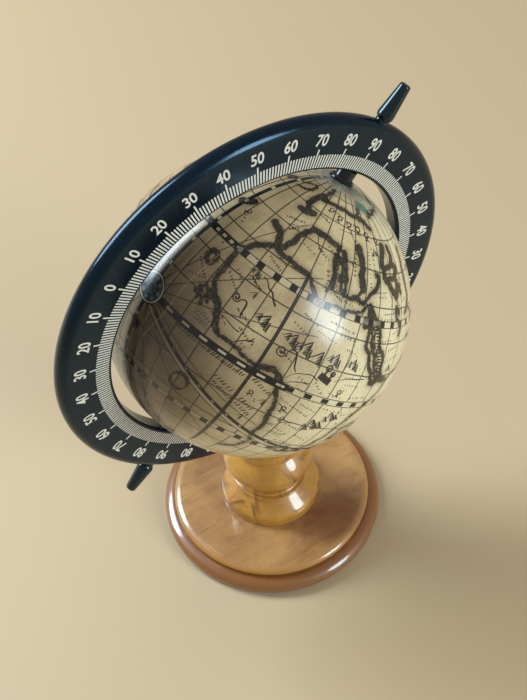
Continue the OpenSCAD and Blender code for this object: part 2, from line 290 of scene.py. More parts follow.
def varnished_wood(name, light, dark, along, streaks, stained, rim=0.0, edge=0.0, painted_shadow=0.0):
    """Turned wood under a clear varnish, its grain along one axis.

    It is dark below the height of the rim, and amber from there up to the height of the edge; above the
    edge it keeps its light and dark colours, which on the foot's top hold a painted sheen.
    The last argument is the strength of a red-brown painted shadow at the front right, where the column's
    shadow falls."""
    recipe = Recipe(name)
    place = recipe.place()
    stretch = [1.0, 1.0, 1.0]
    stretch["XYZ".index(along)] = 0.09

    def drawn_out(vector, power=1.0):
        return recipe.mapped(vector, [share ** power for share in stretch])

    # The grain wanders with a slow noise
    warp = recipe.noise(drawn_out(place), 28, 2)
    bend = recipe.add("ShaderNodeCombineXYZ", {"X": warp, "Y": warp, "Z": warp})
    bent = recipe.add("ShaderNodeVectorMath", {0: bend.outputs[0], 1: (0.05, 0.05, 0.05)},
                      operation="MULTIPLY")
    warped = recipe.add("ShaderNodeVectorMath", {0: place, 1: bent.outputs[0]},
                        operation="ADD").outputs[0]
    bands = recipe.noise(drawn_out(warped), 95, 3, 0.55)
    fine = recipe.noise(drawn_out(place, 1.6), 900, 3, 0.6)
    figure = recipe.noise(place, 32, 2, 0.5, 0.6)
    clouds = recipe.noise(place, 150, 4, 0.65)
    tone = (recipe.ranged(bands, 0.30, 0.70) * streaks
            + recipe.ranged(figure, 0.3, 0.7) * (0.75 - streaks) + clouds * 0.5 + fine * 0.4 - 0.22)
    flecks = recipe.noise(drawn_out(place, 0.6), 1700, 1, 0.5)
    stains = recipe.noise(drawn_out(warped, 0.4), 75, 4, 0.6, 0.8)
    right, back, height = recipe.parts(place)
    height = height + (clouds - 0.5) * 0.002
    layers = [(recipe.ranged(flecks, 0.62, 0.72, 0.0, 0.25), FLECK_BROWN),
              (recipe.ranged(stains, 0.52, 0.66) * stained, STAIN_BROWN),
              # On the foot, amber on all but the top face, which keeps the paler colours with their
              # painted sheen
              (recipe.ranged(height, edge - 0.0004, edge, 0.8, 0.0), EDGE_AMBER),
              (recipe.ranged(height, rim - 0.0015, rim, 0.75, 0.0), RIM_BROWN)]
    # A red-brown painted shadow on the foot's top, to the right of the column
    if painted_shadow:
        spread = recipe.reach((right - 0.015) * 44.0, (back + 0.033) * 64.0) + (clouds - 0.5) * 0.5
        layers.append((recipe.ranged(spread, 0.6, 1.05, painted_shadow, 0.0), PAINTED_SHADOW_BROWN))
    shade = recipe.mix(recipe.math("ADD", tone, 0.0, clamp=True), dark, light)
    smears = recipe.noise(place, 60, 3)
    return recipe.finish(
        Base_Color=recipe.laid(shade, *layers), Roughness=0.42,
        Coat_Weight=1.0, Coat_IOR=1.5, Coat_Roughness=0.10,
        Normal=recipe.bump(fine, 0.06, 0.0002),
        Coat_Normal=recipe.bump(smears, 0.10, 0.0006))


def moulded_plastic(name, tint, roughness, scuff, gloss=0.5, gloss_tint=(1, 1, 1, 1)):
    """Moulded plastic, rubbed dull here and there, with fine scratches from handling."""
    recipe = Recipe(name)
    place = recipe.place()
    clouds = recipe.noise(place, 45, 4, 0.6)
    scratches = recipe.noise(recipe.mapped(place, (1, 1, 0.06), rotation=(0.5, 0.7, 0.2)), 1500, 2)
    marks = recipe.ranged(scratches, 0.62, 0.70)
    dull = marks * scuff + recipe.ranged(clouds, 0.35, 0.65, roughness * 0.8, roughness * 1.25)
    worn = tuple(min(1, part * 2.2 + 0.012) for part in tint[:3]) + (1,)
    shade = recipe.mix(marks * 0.35, tint, worn)
    skin = recipe.noise(place, 900, 2)
    return recipe.finish(Base_Color=shade, Roughness=dull, IOR=1.5, Specular_IOR_Level=gloss,
                         Specular_Tint=gloss_tint, Normal=recipe.bump(skin, 0.05, 0.0001))


def screen_print(name, tint):
    """Thin opaque print that has worn a little."""
    recipe = Recipe(name)
    place = recipe.place()
    wear = recipe.ranged(recipe.noise(place, 700, 3, 0.7), 0.60, 0.78, 0.0, 0.45)
    tone = recipe.ranged(recipe.noise(place, 60, 2), 0.3, 0.7, 0.0, 0.25)
    shade = recipe.laid(tint, (tone, tinted(tint, 0.62)), (wear, (0.20, 0.20, 0.19, 1)))
    return recipe.finish(Base_Color=shade, Roughness=0.42, Normal=recipe.bump(wear, 0.1, 0.00005))


def felt_cloth(name, tint):
    """Pressed wool felt with loose fibres."""
    recipe = Recipe(name)
    place = recipe.place()
    fibres = recipe.noise(place, 1300, 5, 0.7, 1.5)
    clumps = recipe.noise(place, 160, 3)
    shade = recipe.mix(fibres * 0.7 + clumps * 0.5, tinted(tint, 0.45), tint)
    return recipe.finish(Base_Color=shade, Roughness=0.95, Sheen_Weight=0.4, Sheen_Roughness=0.5,
                         Normal=recipe.bump(fibres, 0.6, 0.0003))


def bright_steel(name, tint, axis):
    """Drawn or turned steel, with fine lines along one axis and some dull spots."""
    recipe = Recipe(name)
    place = recipe.place()
    stretch = [1.0, 1.0, 1.0]
    stretch["XYZ".index(axis)] = 0.03
    lines = recipe.noise(recipe.mapped(place, stretch), 2200, 3)
    spots = recipe.noise(place, 240, 4, 0.6)
    shade = recipe.mix(recipe.ranged(spots, 0.5, 0.75), tint, tinted(tint, 0.72))
    return recipe.finish(Base_Color=shade, Metallic=1.0,
                         Roughness=recipe.ranged(lines, 0.3, 0.7, 0.22, 0.38),
                         Normal=recipe.bump(lines, 0.15, 0.00005))


def pressed_board(name, tint, grain):
    """Pressed card or fibre: matted fibres with darker specks."""
    recipe = Recipe(name)
    place = recipe.place()
    mat = recipe.noise(place, grain, 5, 0.65, 1.0)
    specks = recipe.ranged(recipe.noise(place, grain * 3, 1), 0.66, 0.74)
    dark = tinted(tint, 0.6)
    shade = recipe.mix(recipe.ranged(mat, 0.3, 0.7), dark, tint)
    shade = recipe.mix(specks * 0.6, shade, dark)
    return recipe.finish(Base_Color=shade, Roughness=0.85, Normal=recipe.bump(mat, 0.3, 0.0002))


# Helpers for shapes

def on_its_own(piece):
    bpy.ops.object.select_all(action="DESELECT")
    piece.select_set(True)
    bpy.context.view_layer.objects.active = piece


@contextmanager
def editing(action="SELECT", kind="VERT"):
    """Edit mode with all or nothing selected, as points, edges or faces. No action keeps what is."""
    bpy.ops.object.mode_set(mode="EDIT")
    bpy.ops.mesh.select_mode(type=kind)
    if action:
        bpy.ops.mesh.select_all(action=action)
    yield
    bpy.ops.object.mode_set(mode="OBJECT")


def weld():
    """Joins the doubled points of the piece in edit mode and turns its faces outwards."""
    bpy.ops.mesh.select_all(action="SELECT")
    bpy.ops.mesh.remove_doubles(threshold=WELD)
    bpy.ops.mesh.normals_make_consistent(inside=False)


def settle(piece, placing=None):
    """Puts the piece's place, and a further placing, into its mesh."""
    on_its_own(piece)
    if placing is not None:
        piece.matrix_world = placing @ piece.matrix_world
    bpy.ops.object.transform_apply(location=True, rotation=True, scale=True)


def hand_over(piece, body, slot, material, *nodes):
    """Gives a finished piece its material and its body, and hides the nodes that it stands for. The slot
    is not used.
    """
    piece.data.materials.clear()
    piece.data.materials.append(material)
    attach(piece, body)
    if nodes:
        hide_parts(*nodes)


def arc(centre, radii, start, end, steps):
    """Points of an arc of an ellipse in (radius, height), from one angle to another."""
    angles = [math.radians(start + (end - start) * step / steps) for step in range(steps + 1)]
    return [(centre[0] + radii[0] * math.cos(turn), centre[1] + radii[1] * math.sin(turn))
            for turn in angles]


def swell(groove, belly, fullness=1.0, steps=12):
    """Points of a turned swell that leaves a groove at a slope and reaches its belly upright."""
    shares = [step / steps for step in range(steps + 1)]
    return [(groove[0] + (belly[0] - groove[0]) * math.sin(math.pi / 2 * share) ** fullness,
             groove[1] + (belly[1] - groove[1]) * share) for share in shares]


def turned(name, outline, segments, solid=False):
    """Turns an outline of (radius, height) round the Z axis, ring by ring, as on a lathe.

    A closed outline comes back to its first ring. A solid one is capped at both ends."""
    bpy.ops.object.select_all(action="DESELECT")
    radius, height = outline[0]
    bpy.ops.mesh.primitive_circle_add(vertices=segments, radius=radius, location=(0, 0, height),
                                      fill_type="NGON" if solid else "NOTHING")
    piece = bpy.context.object
    piece.name = name
    settle(piece)
    ends = outline[1:] + ([] if solid else outline[:1])
    with editing(kind="EDGE"):
        for (radius, height), (next_radius, next_height) in zip(outline, ends):
            bpy.ops.mesh.extrude_region_move(
                TRANSFORM_OT_translate={"value": (0, 0, next_height - height)})
            grow = next_radius / radius
            bpy.ops.transform.resize(value=(grow, grow, 1), center_override=(0, 0, next_height))
        if solid:
            bpy.ops.mesh.select_all(action="DESELECT")
            bpy.ops.mesh.select_non_manifold()
            bpy.ops.mesh.edge_face_add()
        weld()
    return piece


def cut_away(piece, cutters):
    """Cuts the shapes out of the piece and removes them."""
    for cutter in cutters:
        on_its_own(piece)
        cut = piece.modifiers.new("cut", "BOOLEAN")
        cut.operation = "DIFFERENCE"
        cut.solver = "EXACT"
        cut.object = cutter
        bpy.ops.object.modifier_apply(modifier=cut.name)
        bpy.data.objects.remove(cutter)


def cylinder_cutter(radius, depth, placing, vertices):
    bpy.ops.object.select_all(action="DESELECT")
    bpy.ops.mesh.primitive_cylinder_add(vertices=vertices, radius=radius, depth=depth)
    cutter = bpy.context.object
    settle(cutter, placing)
    return cutter


def soft_edges(piece, width, degrees=30):
    """Rounds the sharp edges a little and shades the rest smooth."""
    on_its_own(piece)
    bevel = piece.modifiers.new("edges", "BEVEL")
    bevel.width = width
    bevel.segments = 2
    bevel.limit_method = "ANGLE"
    bevel.angle_limit = math.radians(degrees)
    bpy.ops.object.modifier_apply(modifier=bevel.name)
    bpy.ops.object.shade_smooth_by_angle(angle=math.radians(degrees))


def points_of(mesh):
    """The places of a mesh's points, one row for each."""
    points = np.empty(len(mesh.vertices) * 3)
    mesh.vertices.foreach_get("co", points)
    return points.reshape(-1, 3)


def millimetres(points):
    return [(radius * MM, height * MM) for radius, height in points]


# Stand

class GLOBE_OT_foot(bpy.types.Operator):
    """Turns the wooden foot with its flange, groove and upper disc"""
    bl_idname = "globe.foot"
    bl_label = "Foot"

    def execute(self, context):
        sizes, colours = context.scene.globe_stand, context.scene.globe_colours
        low, top = sizes.felt_height, sizes.foot_height
        edge, groove, disc = sizes.foot_radius, sizes.groove_radius, sizes.disc_radius
        groove_z = sizes.groove_height
        corner, round_in = 1.6 * MM, 5.6 * MM
        belly = low + 2.8 * MM
        disc_belly = groove_z + 1.9 * MM
        socket_low = top - 5.8 * MM
        recess_top = low + 2.6 * MM
        outline = [(sizes.screw_hole_radius, recess_top), (sizes.recess_radius, recess_top),
                   (sizes.recess_radius, low), (edge * 0.5, low)]
        outline += arc((edge - corner, low + corner), (corner, corner), -90, 0, 8)
        outline += arc((edge - round_in, belly), (round_in, groove_z - 0.5 * MM - belly), 0, 90, 18)
        outline += [(groove + 0.6 * MM, groove_z - 0.45 * MM), (groove + 0.1 * MM, groove_z - 0.1 * MM)]
        outline += swell((groove, groove_z + 0.2 * MM), (disc, disc_belly), 1, 8)
        outline += arc((disc - 4 * MM, disc_belly + 0.3 * MM), (4 * MM, top - disc_belly - 0.3 * MM),
                       0, 90, 16)
        outline += [(disc * 0.75, top), (sizes.socket_radius + 2 * MM, top), (sizes.socket_radius, top),
                    (sizes.socket_radius, socket_low), (sizes.screw_hole_radius, socket_low)]
        piece = turned("foot", outline, 180)
        soft_edges(piece, 0.15 * MM)
        # The foot's wood carries a painted shadow to the right of the column
        wood = varnished_wood("foot_wood", colours.foot_light, colours.foot_dark, "X", streaks=0.30,
                              stained=0.45, rim=groove_z + 1 * MM, edge=top - 0.3 * MM, painted_shadow=0.62)
        hand_over(piece, "stand", "turned_wood", wood, "base_disc")
        return {"FINISHED"}


class GLOBE_OT_column(bpy.types.Operator):
    """Turns the wooden column and cuts the slot in its head"""
    bl_idname = "globe.column"
    bl_label = "Column"

    def execute(self, context):
        sizes, colours = context.scene.globe_stand, context.scene.globe_colours
        foot = sizes.foot_height
        cup, waist, bulb, head = (sizes.cup_radius, sizes.waist_radius, sizes.bulb_radius,
                                  sizes.head_radius)
        top = sizes.column_height
        cup_belly, cup_top = foot + 4.6 * MM, foot + 13.9 * MM
        bead_low = cup_top + 1.6 * MM
        waist_z = bead_low + 2.6 * MM
        bulb_belly, neck_z = waist_z + 16.6 * MM, waist_z + 26.1 * MM
        cup_top_r, bead_groove_r, neck = 18 * MM, 16.4 * MM, 16.9 * MM
        shoulder = 4.6 * MM
        line = neck_z + 6.9 * MM
        tenon, tenon_low = 8 * MM, foot - 5.6 * MM
        core, pilot = 0.2 * MM, 2.02 * MM
        pilot_top = tenon_low + 27 * MM
        outline = [(core, pilot_top), (pilot, pilot_top - 1 * MM), (pilot, tenon_low),
                   (tenon - 0.4 * MM, tenon_low), (tenon, tenon_low + 0.4 * MM), (tenon, foot)]
        outline += swell((cup, cup_belly), (cup - 0.4 * MM, foot), 1, 6)[::-1]
        outline += arc((cup - shoulder, cup_belly), (shoulder, shoulder * 1.1), 0, 50, 12)[1:]
        outline += [(cup_top_r + 0.2 * MM, cup_top - 0.2 * MM), (cup_top_r, cup_top)]
        fillet, bead = 0.72 * MM, 1.17 * MM
        outline += arc((cup_top_r, cup_top + fillet), (sizes.fillet_radius - cup_top_r, fillet),
                       -60, 90, 10)
        outline += [(bead_groove_r, bead_low)]
        outline += arc((waist, bead_low + bead), (sizes.bead_radius - waist, bead), -30, 90, 12)
        outline += swell((waist, waist_z), (bulb, bulb_belly), 1, 20)
        outline += swell((neck, neck_z), (bulb, bulb_belly), 1, 16)[::-1][1:]
        outline += swell((neck, neck_z + 0.4 * MM), (head, neck_z + 2.4 * MM), 1, 6)
        outline += [(head, line - 0.6 * MM), (head - 0.5 * MM, line), (head, line + 0.6 * MM)]
        outline += arc((head - 2 * MM, top - 2 * MM), (2 * MM, 2 * MM), 0, 90, 10)
        outline += [(tenon, top), (core, top)]
        piece = turned("column_turned", outline, 144)
        slot = cylinder_cutter(sizes.slot_radius, sizes.slot_width, UPRIGHT, 360)
        cut_away(piece, [slot])
        soft_edges(piece, 0.2 * MM)
        wood = varnished_wood("column_wood", colours.wood_light, colours.wood_dark, "Z", streaks=0.35,
                              stained=0.85)
        hand_over(piece, "stand", "turned_wood", wood, "column")
        return {"FINISHED"}


# Ring

class GLOBE_OT_ring(bpy.types.Operator):
    """Turns the black ring with its rounded rim and bores it for the rod and finials"""
    bl_idname = "globe.ring"
    bl_label = "Ring"

    def execute(self, context):
        sizes, colours = context.scene.globe_ring, context.scene.globe_colours
        half = sizes.thickness / 2
        inner, outer, edge = sizes.inner_radius, sizes.outer_radius, sizes.edge_round
        flat = inner + 9 * MM
        outline = arc((inner + edge, edge - half), (edge, edge), 180, 270, 8)
        outline += [(flat, -half)]
        outline += arc((outer - half, 0), (half, half), -90, 90, 28)
        outline += [(flat, half)]
        outline += arc((inner + edge, half - edge), (edge, edge), 90, 180, 8)
        piece = turned("degree_ring", outline, 360)
        settle(piece, UPRIGHT)
        rod = cylinder_cutter(sizes.rod_hole_radius, 0.2, NORTH, 48)
        seats = [cylinder_cutter(sizes.seat_radius, 2 * MM,
                                 placing @ Matrix.Translation((0, 0, sizes.seat_distance + 1 * MM)), 48)
                 for placing in (NORTH, SOUTH)]
        cut_away(piece, [rod] + seats)
        on_its_own(piece)
        bpy.ops.object.shade_smooth_by_angle(angle=math.radians(35))
        plastic = moulded_plastic("ring_plastic", colours.ring_black, roughness=0.18, scuff=0.12,
                                  gloss=0.46, gloss_tint=(0.40, 0.66, 0.92, 1))
        hand_over(piece, "ring", "ring_plastic", plastic, "meridian_ring")
        return {"FINISHED"}


# Height of a digit, and how much bolder it is printed, as shares of the font's and the numeral's size
DIGIT_HEIGHT = 0.73
NUMERAL_WEIGHT = 0.026


def degree_marks(name, sizes, start, end, step):
    """One mark at every step of degrees, as thin raised print on a face that looks up."""
    bpy.ops.object.select_all(action="DESELECT")
    bpy.ops.mesh.primitive_cube_add(size=1)
    marks = bpy.context.object
    marks.name = name
    marks.dimensions = (sizes.tick_width, end - start, 2 * sizes.print_height)
    marks.location = (0, (start + end) / 2, sizes.thickness / 2)
    settle(marks)
    bpy.ops.object.empty_add(rotation=(0, 0, math.radians(step)))
    turn = bpy.context.object
    on_its_own(marks)
    fan = marks.modifiers.new("fan", "ARRAY")
    fan.use_relative_offset = False
    fan.use_object_offset = True
    fan.offset_object = turn
    fan.count = round(360 / step)
    bpy.ops.object.modifier_apply(modifier=fan.name)
    bpy.data.objects.remove(turn)
    return marks


def numeral(value, turn, sizes):
    """A printed number whose top points outwards, at a turn from the north pole."""
    bpy.ops.object.select_all(action="DESELECT")
    bpy.ops.object.text_add()
    text = bpy.context.object
    text.data.body = str(value)
    text.data.align_x = "CENTER"
    text.data.size = sizes.numeral_height / DIGIT_HEIGHT
    text.data.offset = sizes.numeral_height * NUMERAL_WEIGHT
    text.data.extrude = sizes.print_height
    text.data.resolution_u = 4
    bpy.ops.object.convert(target="MESH")
    with editing():
        weld()
    low, high = [extreme(point[1] for point in text.bound_box) for extreme in (min, max)]
    middle = Matrix.Translation((0, sizes.numeral_radius - (low + high) / 2, sizes.thickness / 2))
    squeeze = Matrix.Diagonal((sizes.numeral_squeeze, 1, 1, 1))
    settle(text, Matrix.Rotation(turn, 4, "Z") @ middle @ squeeze)
    return text


class GLOBE_OT_scale(bpy.types.Operator):
    """Prints the degree marks and numbers on both faces of the ring"""
    bl_idname = "globe.scale"
    bl_label = "Degree scale"

    def execute(self, context):
        sizes, colours = context.scene.globe_ring, context.scene.globe_colours
        parts = [degree_marks("short_marks", sizes, sizes.tick_start, sizes.tick_end, 1),
                 degree_marks("long_marks", sizes, sizes.tick_end, sizes.long_tick_end, 10)]
        for place in range(0, 360, 10):
            value = 90 - min(place % 180, 180 - place % 180)
            parts.append(numeral(value, math.radians(place), sizes))
        bpy.ops.object.select_all(action="DESELECT")
        for part in parts:
            part.select_set(True)
        bpy.context.view_layer.objects.active = parts[0]
        bpy.ops.object.join()
        front = bpy.context.object
        front.name = "scale_front"
        bpy.ops.object.duplicate()
        back = bpy.context.object
        back.name = "scale_back"
        # Made flat with the north pole along +Y: the first turn leans the pole, the second stands it up
        lean = Matrix.Rotation(-TILT, 4, "Z")
        settle(front, UPRIGHT @ lean)
        settle(back, UPRIGHT @ lean @ Matrix.Rotation(math.pi, 4, "Y"))
        white = screen_print("scale_print", colours.print_white)
        for piece in (front, back):
            on_its_own(piece)
            bpy.ops.object.shade_flat()
            hand_over(piece, "ring", "ring_plastic", white)
        return {"FINISHED"}


class GLOBE_OT_finials(bpy.types.Operator):
    """Turns the two black finials on the ends of the rod"""
    bl_idname = "globe.finials"
    bl_label = "Finials"

    def execute(self, context):
        colours = context.scene.globe_colours
        # Millimetres from the ball's centre, and radii
        low, rim, bore_end, tip = 92.52, 93.5, 102.6, 110.27
        core, bore, neck, belly, tip_round = 0.3, 2.1, 2.75, 3.63, 1.1
        outline = arc((1.3, tip - tip_round), (tip_round, tip_round), 90, 8, 8)
        outline[0] = (0.9, tip)
        outline.insert(0, (core, tip))
        outline += swell((neck, rim + 0.6), (belly, rim + 2.7), 0.8, 10)[::-1]
        outline += [(neck, rim + 0.1), (neck, low), (bore, low), (bore, bore_end), (core, bore_end + 0.1)]
        plastic = moulded_plastic("finial_plastic", colours.finial_black, roughness=0.14, scuff=0.06,
                                  gloss=0.6, gloss_tint=(0.6, 0.88, 1.0, 1))
        for side, placing in (("north", NORTH), ("south", SOUTH)):
            piece = turned(side + "_cone", millimetres(outline), 64, solid=True)
            settle(piece, placing)
            bpy.ops.object.shade_smooth_by_angle(angle=math.radians(40))
            hand_over(piece, "ring", "finial_plastic", plastic, side + "_finial")
        return {"FINISHED"}


# Ball

# Shores of the map's near side: width in millimetres, then longitude and latitude by turns, in degrees
NEAR_SHORES = (
    (2.4, "-60 41 -64 38.5 -67.5 36 -70 33 -70.5 30 -70 25 -70 20 -68 17"),
    (2.5, "-68 17 -65 14.5 -63 12.5 -61.5 10 -60.5 7.5 -58.5 6"),
    (1.6, "-58.5 6 -56 6 -53.5 6 -51 5.5 -48.5 5 -46 4.5 -43.5 4 -42 3.5"),
    (3.0, "-42 3.5 -39 5 -37 5.5 -35 5 -33 4 -31.5 2.5"),
    (2.0, "-31.5 2.5 -31 -0.5 -29.5 -3 -28.5 -6 -28 -9 -27.5 -12 -26.5 -14.5 -26 -17.5 -26.5 -20"
     " -26 -23.5"), (1.4, "-26 -23.5 -24.5 -28 -25.5 -32 -28 -36 -31 -38"),
    (1.0, "-14 -27.5 -11 -27 -8.5 -26 -7 -24.5 -9 -25 -12 -26 -14 -27.5"),
    (1.2, "-14 -27.5 -8 -29.5 -3 -28.5 1 -26 3 -22 4 -17 4.5 -12 6 -8 7 -4 10 -0.5 12.5 2 15 5 17"
     " 8.5 18 11.5"),
    (1.8, "-8 38 -7.8 35 -8 32 -5.6 30 -5.4 26 -5 23.5 -2.2 22 -0.7 19.5 0.3 17 2.6 15.5 4 13 5.5 11.5"),
    (2.1, "-8 38 -6 36 -3.5 34 -0.5 32 1 30 2 27 3 24.5 6 22.5 8 20 8.5 17 10 14.5 12.5 12.5"),
    (3.0, "-7 34 -4.5 31 -2.8 28 -2 25.5 0 23 2.5 21 3.5 18.5 5 16 7.5 13.5"),
    (3.0, "5 11.5 8 11 12.5 12.5 16 11.5"), (3.4, "-8.5 33 -8.5 31"), (3.2, "-1 32.5 0.5 30.5"),
    (1.2, "18 11.5 24 14 30 17 36 19 42 22 46 27 44 31 38 33 33 34 28 37"),
    (2.1, "-60 41 -58 40 -54 39.5 -50 39.5 -46 39 -42.5 38.5 -40 38"),
    (1.5, "-40 38 -39 36.5 -37 35 -35 33.5 -33 32 -30 32.5 -27 33 -23.5 33.5 -20.5 33 -17 34 -13.5"
     " 34.5 -11 36 -9.5 37.5"), (2.6, "-60 41 -61 43.5 -62.5 45.5 -65 46.5 -68.5 47.5"),
    (2.3, "-60 41 -57 42 -55.5 45 -55 48.5 -53 51.5 -49.5 54.5"), (2.7, "-49.5 54.5 -45.5 54.5 -41 54.5"),
    (2.4, "-41 54.5 -37 53.5 -32.5 53"), (3.7, "-32.5 53 -30 51.5 -29 49 -28.5 46 -27 43 -26 40"),
    (2.4, "-32.5 50 -32 47 -30.5 43 -30 39"),
    (2.1, "-28.5 52.5 -27 50.5 -26 47 -24 43.5 -24 40.5 -23.5 38"),
    (3.2, "-18.5 56.5 -17.5 54.5 -16 52 -15.5 48 -14.5 45 -14 42"),
    (1.8, "-23.5 38 -21 38 -17.5 39 -14.5 38 -12 38 -9.5 40.5 -6.5 43 -4 44.5 -3 46.5 -3 48.5 -5 49"),
    (1.3, "-14 42 -15.5 40 -17.5 39"), (3.0, "5.5 60 2.5 56 2 51.5 2.5 48 6.5 46 12.5 42"),
    (2.8, "13 60 14 57.5 11.5 53.5 16.5 52.5 13.5 49.5 14.5 46.5 12.5 42"),
    (2.4, "2 52 7 52.5 11.5 53.5"), (2.4, "2.5 48 8 48.5 13.5 49"), (2.0, "17 46 18 43.5"),
    (2.2, "33 58.5 29 53.5 27 48.5 27.5 44 28 41 23 36"), (1.8, "12 37 13 34.5 16 33 18 31 17 28.5"),
    (3.0, "13 38 15 36.5"),
    (2.2, "-57 68 -53 68.5 -48 69 -42 69.5 -36.5 69.5 -30 69.5 -23 69 -15 69.5 -10.5 68 -7 67 -4 66"),
    (3.2, "-64 58.5 -60 58.5 -57 59.5 -55.5 60"),
    (2.6, "-60 58.5 -61 61 -63 62.5 -62.5 65 -60.5 67.5 -59 70 -57 71 -55.5 70 -53.5 69"),
    (1.8, "-56 72 -54 74.5 -52 77"),
    (1.0, "-82 66 -78 66.5 -75 67 -70 69 -69.5 71.5 -73.5 72.5 -79 71 -83 69"),
    (3.0, "-88.5 45 -86 46.5 -84 48"), (2.4, "-93 66 -91 68"), (4.2, "-86.5 -11 -85.5 -12.5"),
    (2.2, "-74.5 24 -75 22.5 -76.5 22 -78 23 -78.5 25 -77.5 26.5 -76 26.5 -75 25.5 -74.5 24"),
)
# Petals of the dark islands off the western cape: reach in millimetres and turn in degrees
ISLE_MIDDLE = (-70, 13.5)
ISLE_PETALS = ((4.2, 20), (3.8, 65), (4.0, 110), (3.6, 150),
               (4.2, 200), (3.6, 245), (4.3, 290), (3.8, 335))
# Pale islands left clear in the dark shores: width, then longitude and latitude by turns
PALE_ISLES = (
    (1.2, "-29 46.8 -28.6 44.5"), (1.3, "-27.6 41 -27.2 39"), (0.9, "-30.6 51.5 -30.2 50.5"),
    (0.9, "-71 15 -69.8 14.4"), (0.8, "-70.4 11.6 -70.2 10.2"), (0.9, "-36 4 -34.5 3.6"),
    (0.9, "-39.2 3.4 -38 3.4"), (0.8, "-25 41.5 -24.7 40.5"), (0.8, "-5.5 32.5 -5 31.5"),
    (0.7, "-3 29.5 -2.6 28.6"), (0.8, "-1.8 26.4 -1.2 25.6"), (0.7, "0.8 23.4 1.2 22.6"),
    (0.8, "3.4 20.6 3.6 19.6"), (0.7, "5 17.6 5.2 16.8"), (0.6, "6.4 15 7 14.4"),
)
# Shores of the far side in true degrees, drawn the way that such an old map stretches them
FAR_SHORES = (
    """28 60 30 61 25 61 22 60 21 63 25 65 22 66 30 70 41 67 38 64 44 66 55 68 68 68 73 71 80 73
    100 76 113 74 130 71 160 70 178 69 188 66 180 62 165 60 162 56 157 51 156 57 160 61 145 59
    136 54 141 52 136 46 131 43 128 39 129 35 126 35 125 39 121 40 118 38 122 37 120 34 122 30
    117 24 110 21 106 18 109 14 108 11 105 9 102 12 100 13 100 9 103 4 104 1 101 3 98 8 98 15 95 16
    92 21 88 22 82 16 80 12 78 8 75 12 73 17 72 21 67 25 60 25""",
    """-168 66 -160 70 -140 70 -125 70 -110 68 -95 68 -85 69 -82 67 -90 64 -94 60 -88 57 -82 55
    -79 51 -79 55 -77 60 -70 61 -65 58 -60 54 -56 52 -60 50 -66 50 -64 46 -60 46 -66 44 -70 43
    -74 40 -76 35 -81 31 -80 26 -82 28 -84 30 -90 29 -97 27 -97 22 -94 18 -90 21 -87 21 -88 16
    -83 15 -83 10 -79 9 -77 7 -80 6 -85 10 -92 14 -97 16 -105 20 -109 25 -113 31 -110 24 -115 29
    -117 33 -121 35 -124 40 -124 48 -133 56 -145 60 -152 59 -160 55 -165 60 -168 66""",
    """-77 8 -72 12 -62 10 -52 5 -50 0 -44 -3 -35 -6 -37 -11 -39 -17 -42 -23 -48 -26 -54 -34 -58 -35
    -62 -39 -65 -43 -67 -48 -69 -52 -67 -55 -72 -54 -75 -49 -73 -40 -71 -30 -70 -18 -76 -14 -81 -5
    -80 1 -77 4 -79 8""",
    "44 -24 47 -25 50 -15 49 -12 44 -17 44 -24", "80 6 82 6 82 9 80 9 80 6",
    "95 5 97 5 104 -2 106 -6 103 -5 95 5", "105 -6 114 -7 114 -9 106 -8 105 -6",
    "109 1 117 7 119 4 116 -4 110 -3 109 1", "119 1 125 1 121 -1 123 -5 119 -5",
    "120 18 122 18 124 12 126 7 122 7 120 14 120 18",
    "130 32 136 34 141 36 142 41 145 43 142 45 139 38 133 35 130 32",
    "131 -1 141 -3 150 -10 141 -9 133 -4 131 -1", "-85 22 -75 20 -75 21 -80 23 -85 22",
    "-74 18 -68 18 -69 20 -73 20 -74 18",
    """-180 -62 -165 -60 -150 -66 -135 -70 -120 -68 -105 -63 -90 -58 -75 -57 -60 -61 -45 -67 -30 -70
    -15 -66 0 -62 15 -64 30 -69 45 -66 60 -58 75 -50 90 -44 105 -48 120 -52 135 -47 150 -50 165 -57
    180 -62""",
)
FAR_WIDTH = 1.5
# True longitude to drawn, and true latitude to drawn
LONGITUDES = (
    (-180, -122, -80, -35, -17.4, -7.7, 3, 9.5, 14, 20, 32.5, 43, 51, 60, 80, 105, 122, 140, 180),
    (-220, -180, -142, -98, -70, -60, -41, -31.5, -26, -18, -6, 9, 19, 28, 50, 77, 96, 114, 140))
LATITUDES = ((-90, -60, -35, -12, 0, 4.4, 15, 30, 36, 41, 46, 55, 60, 70, 90),
             (-90, -58, -27, -8.5, 1, 6.2, 13.5, 32.5, 40, 48, 55.5, 64, 68, 76, 90))
# Radius of the ball in the map's millimetres
EARTH = 65.0
MM_PER_DEGREE = EARTH * math.pi / 180
CHART_SEED = 7


def groups_of(size, text):
    """The numbers of a text, in groups of a size."""
    numbers = [float(word) for word in text.split()]
    return [tuple(numbers[start:start + size]) for start in range(0, len(numbers), size)]


def pairs(text):
    return groups_of(2, text)


def wander(points, rng, levels, spread=0.13):
    """Breaks each stretch of a shore in two and shifts its middle sideways, again and again."""
    for level in range(levels):
        longer = []
        for (x, y), (next_x, next_y) in zip(points, points[1:]):
            squash = max(0.2, math.cos(math.radians((y + next_y) / 2)))
            across, along = (next_x - x) * squash, next_y - y
            shift = rng.uniform(-spread, spread)
            if math.hypot(across, along) > 20:
                shift *= 0.4
            longer += [(x, y), ((x + next_x) / 2 - along * shift / squash,
                                (y + next_y) / 2 + across * shift)]
        points = longer + points[-1:]
    return points


def on_ball(longitude, latitude):
    """Points of the unit ball, pole up, from drawn degrees. Longitude 0 faces the front."""
    longitude, latitude = np.radians(longitude), np.radians(latitude)
    return np.stack([np.cos(latitude) * np.sin(longitude), -np.cos(latitude) * np.cos(longitude),
                     np.sin(latitude)], -1)


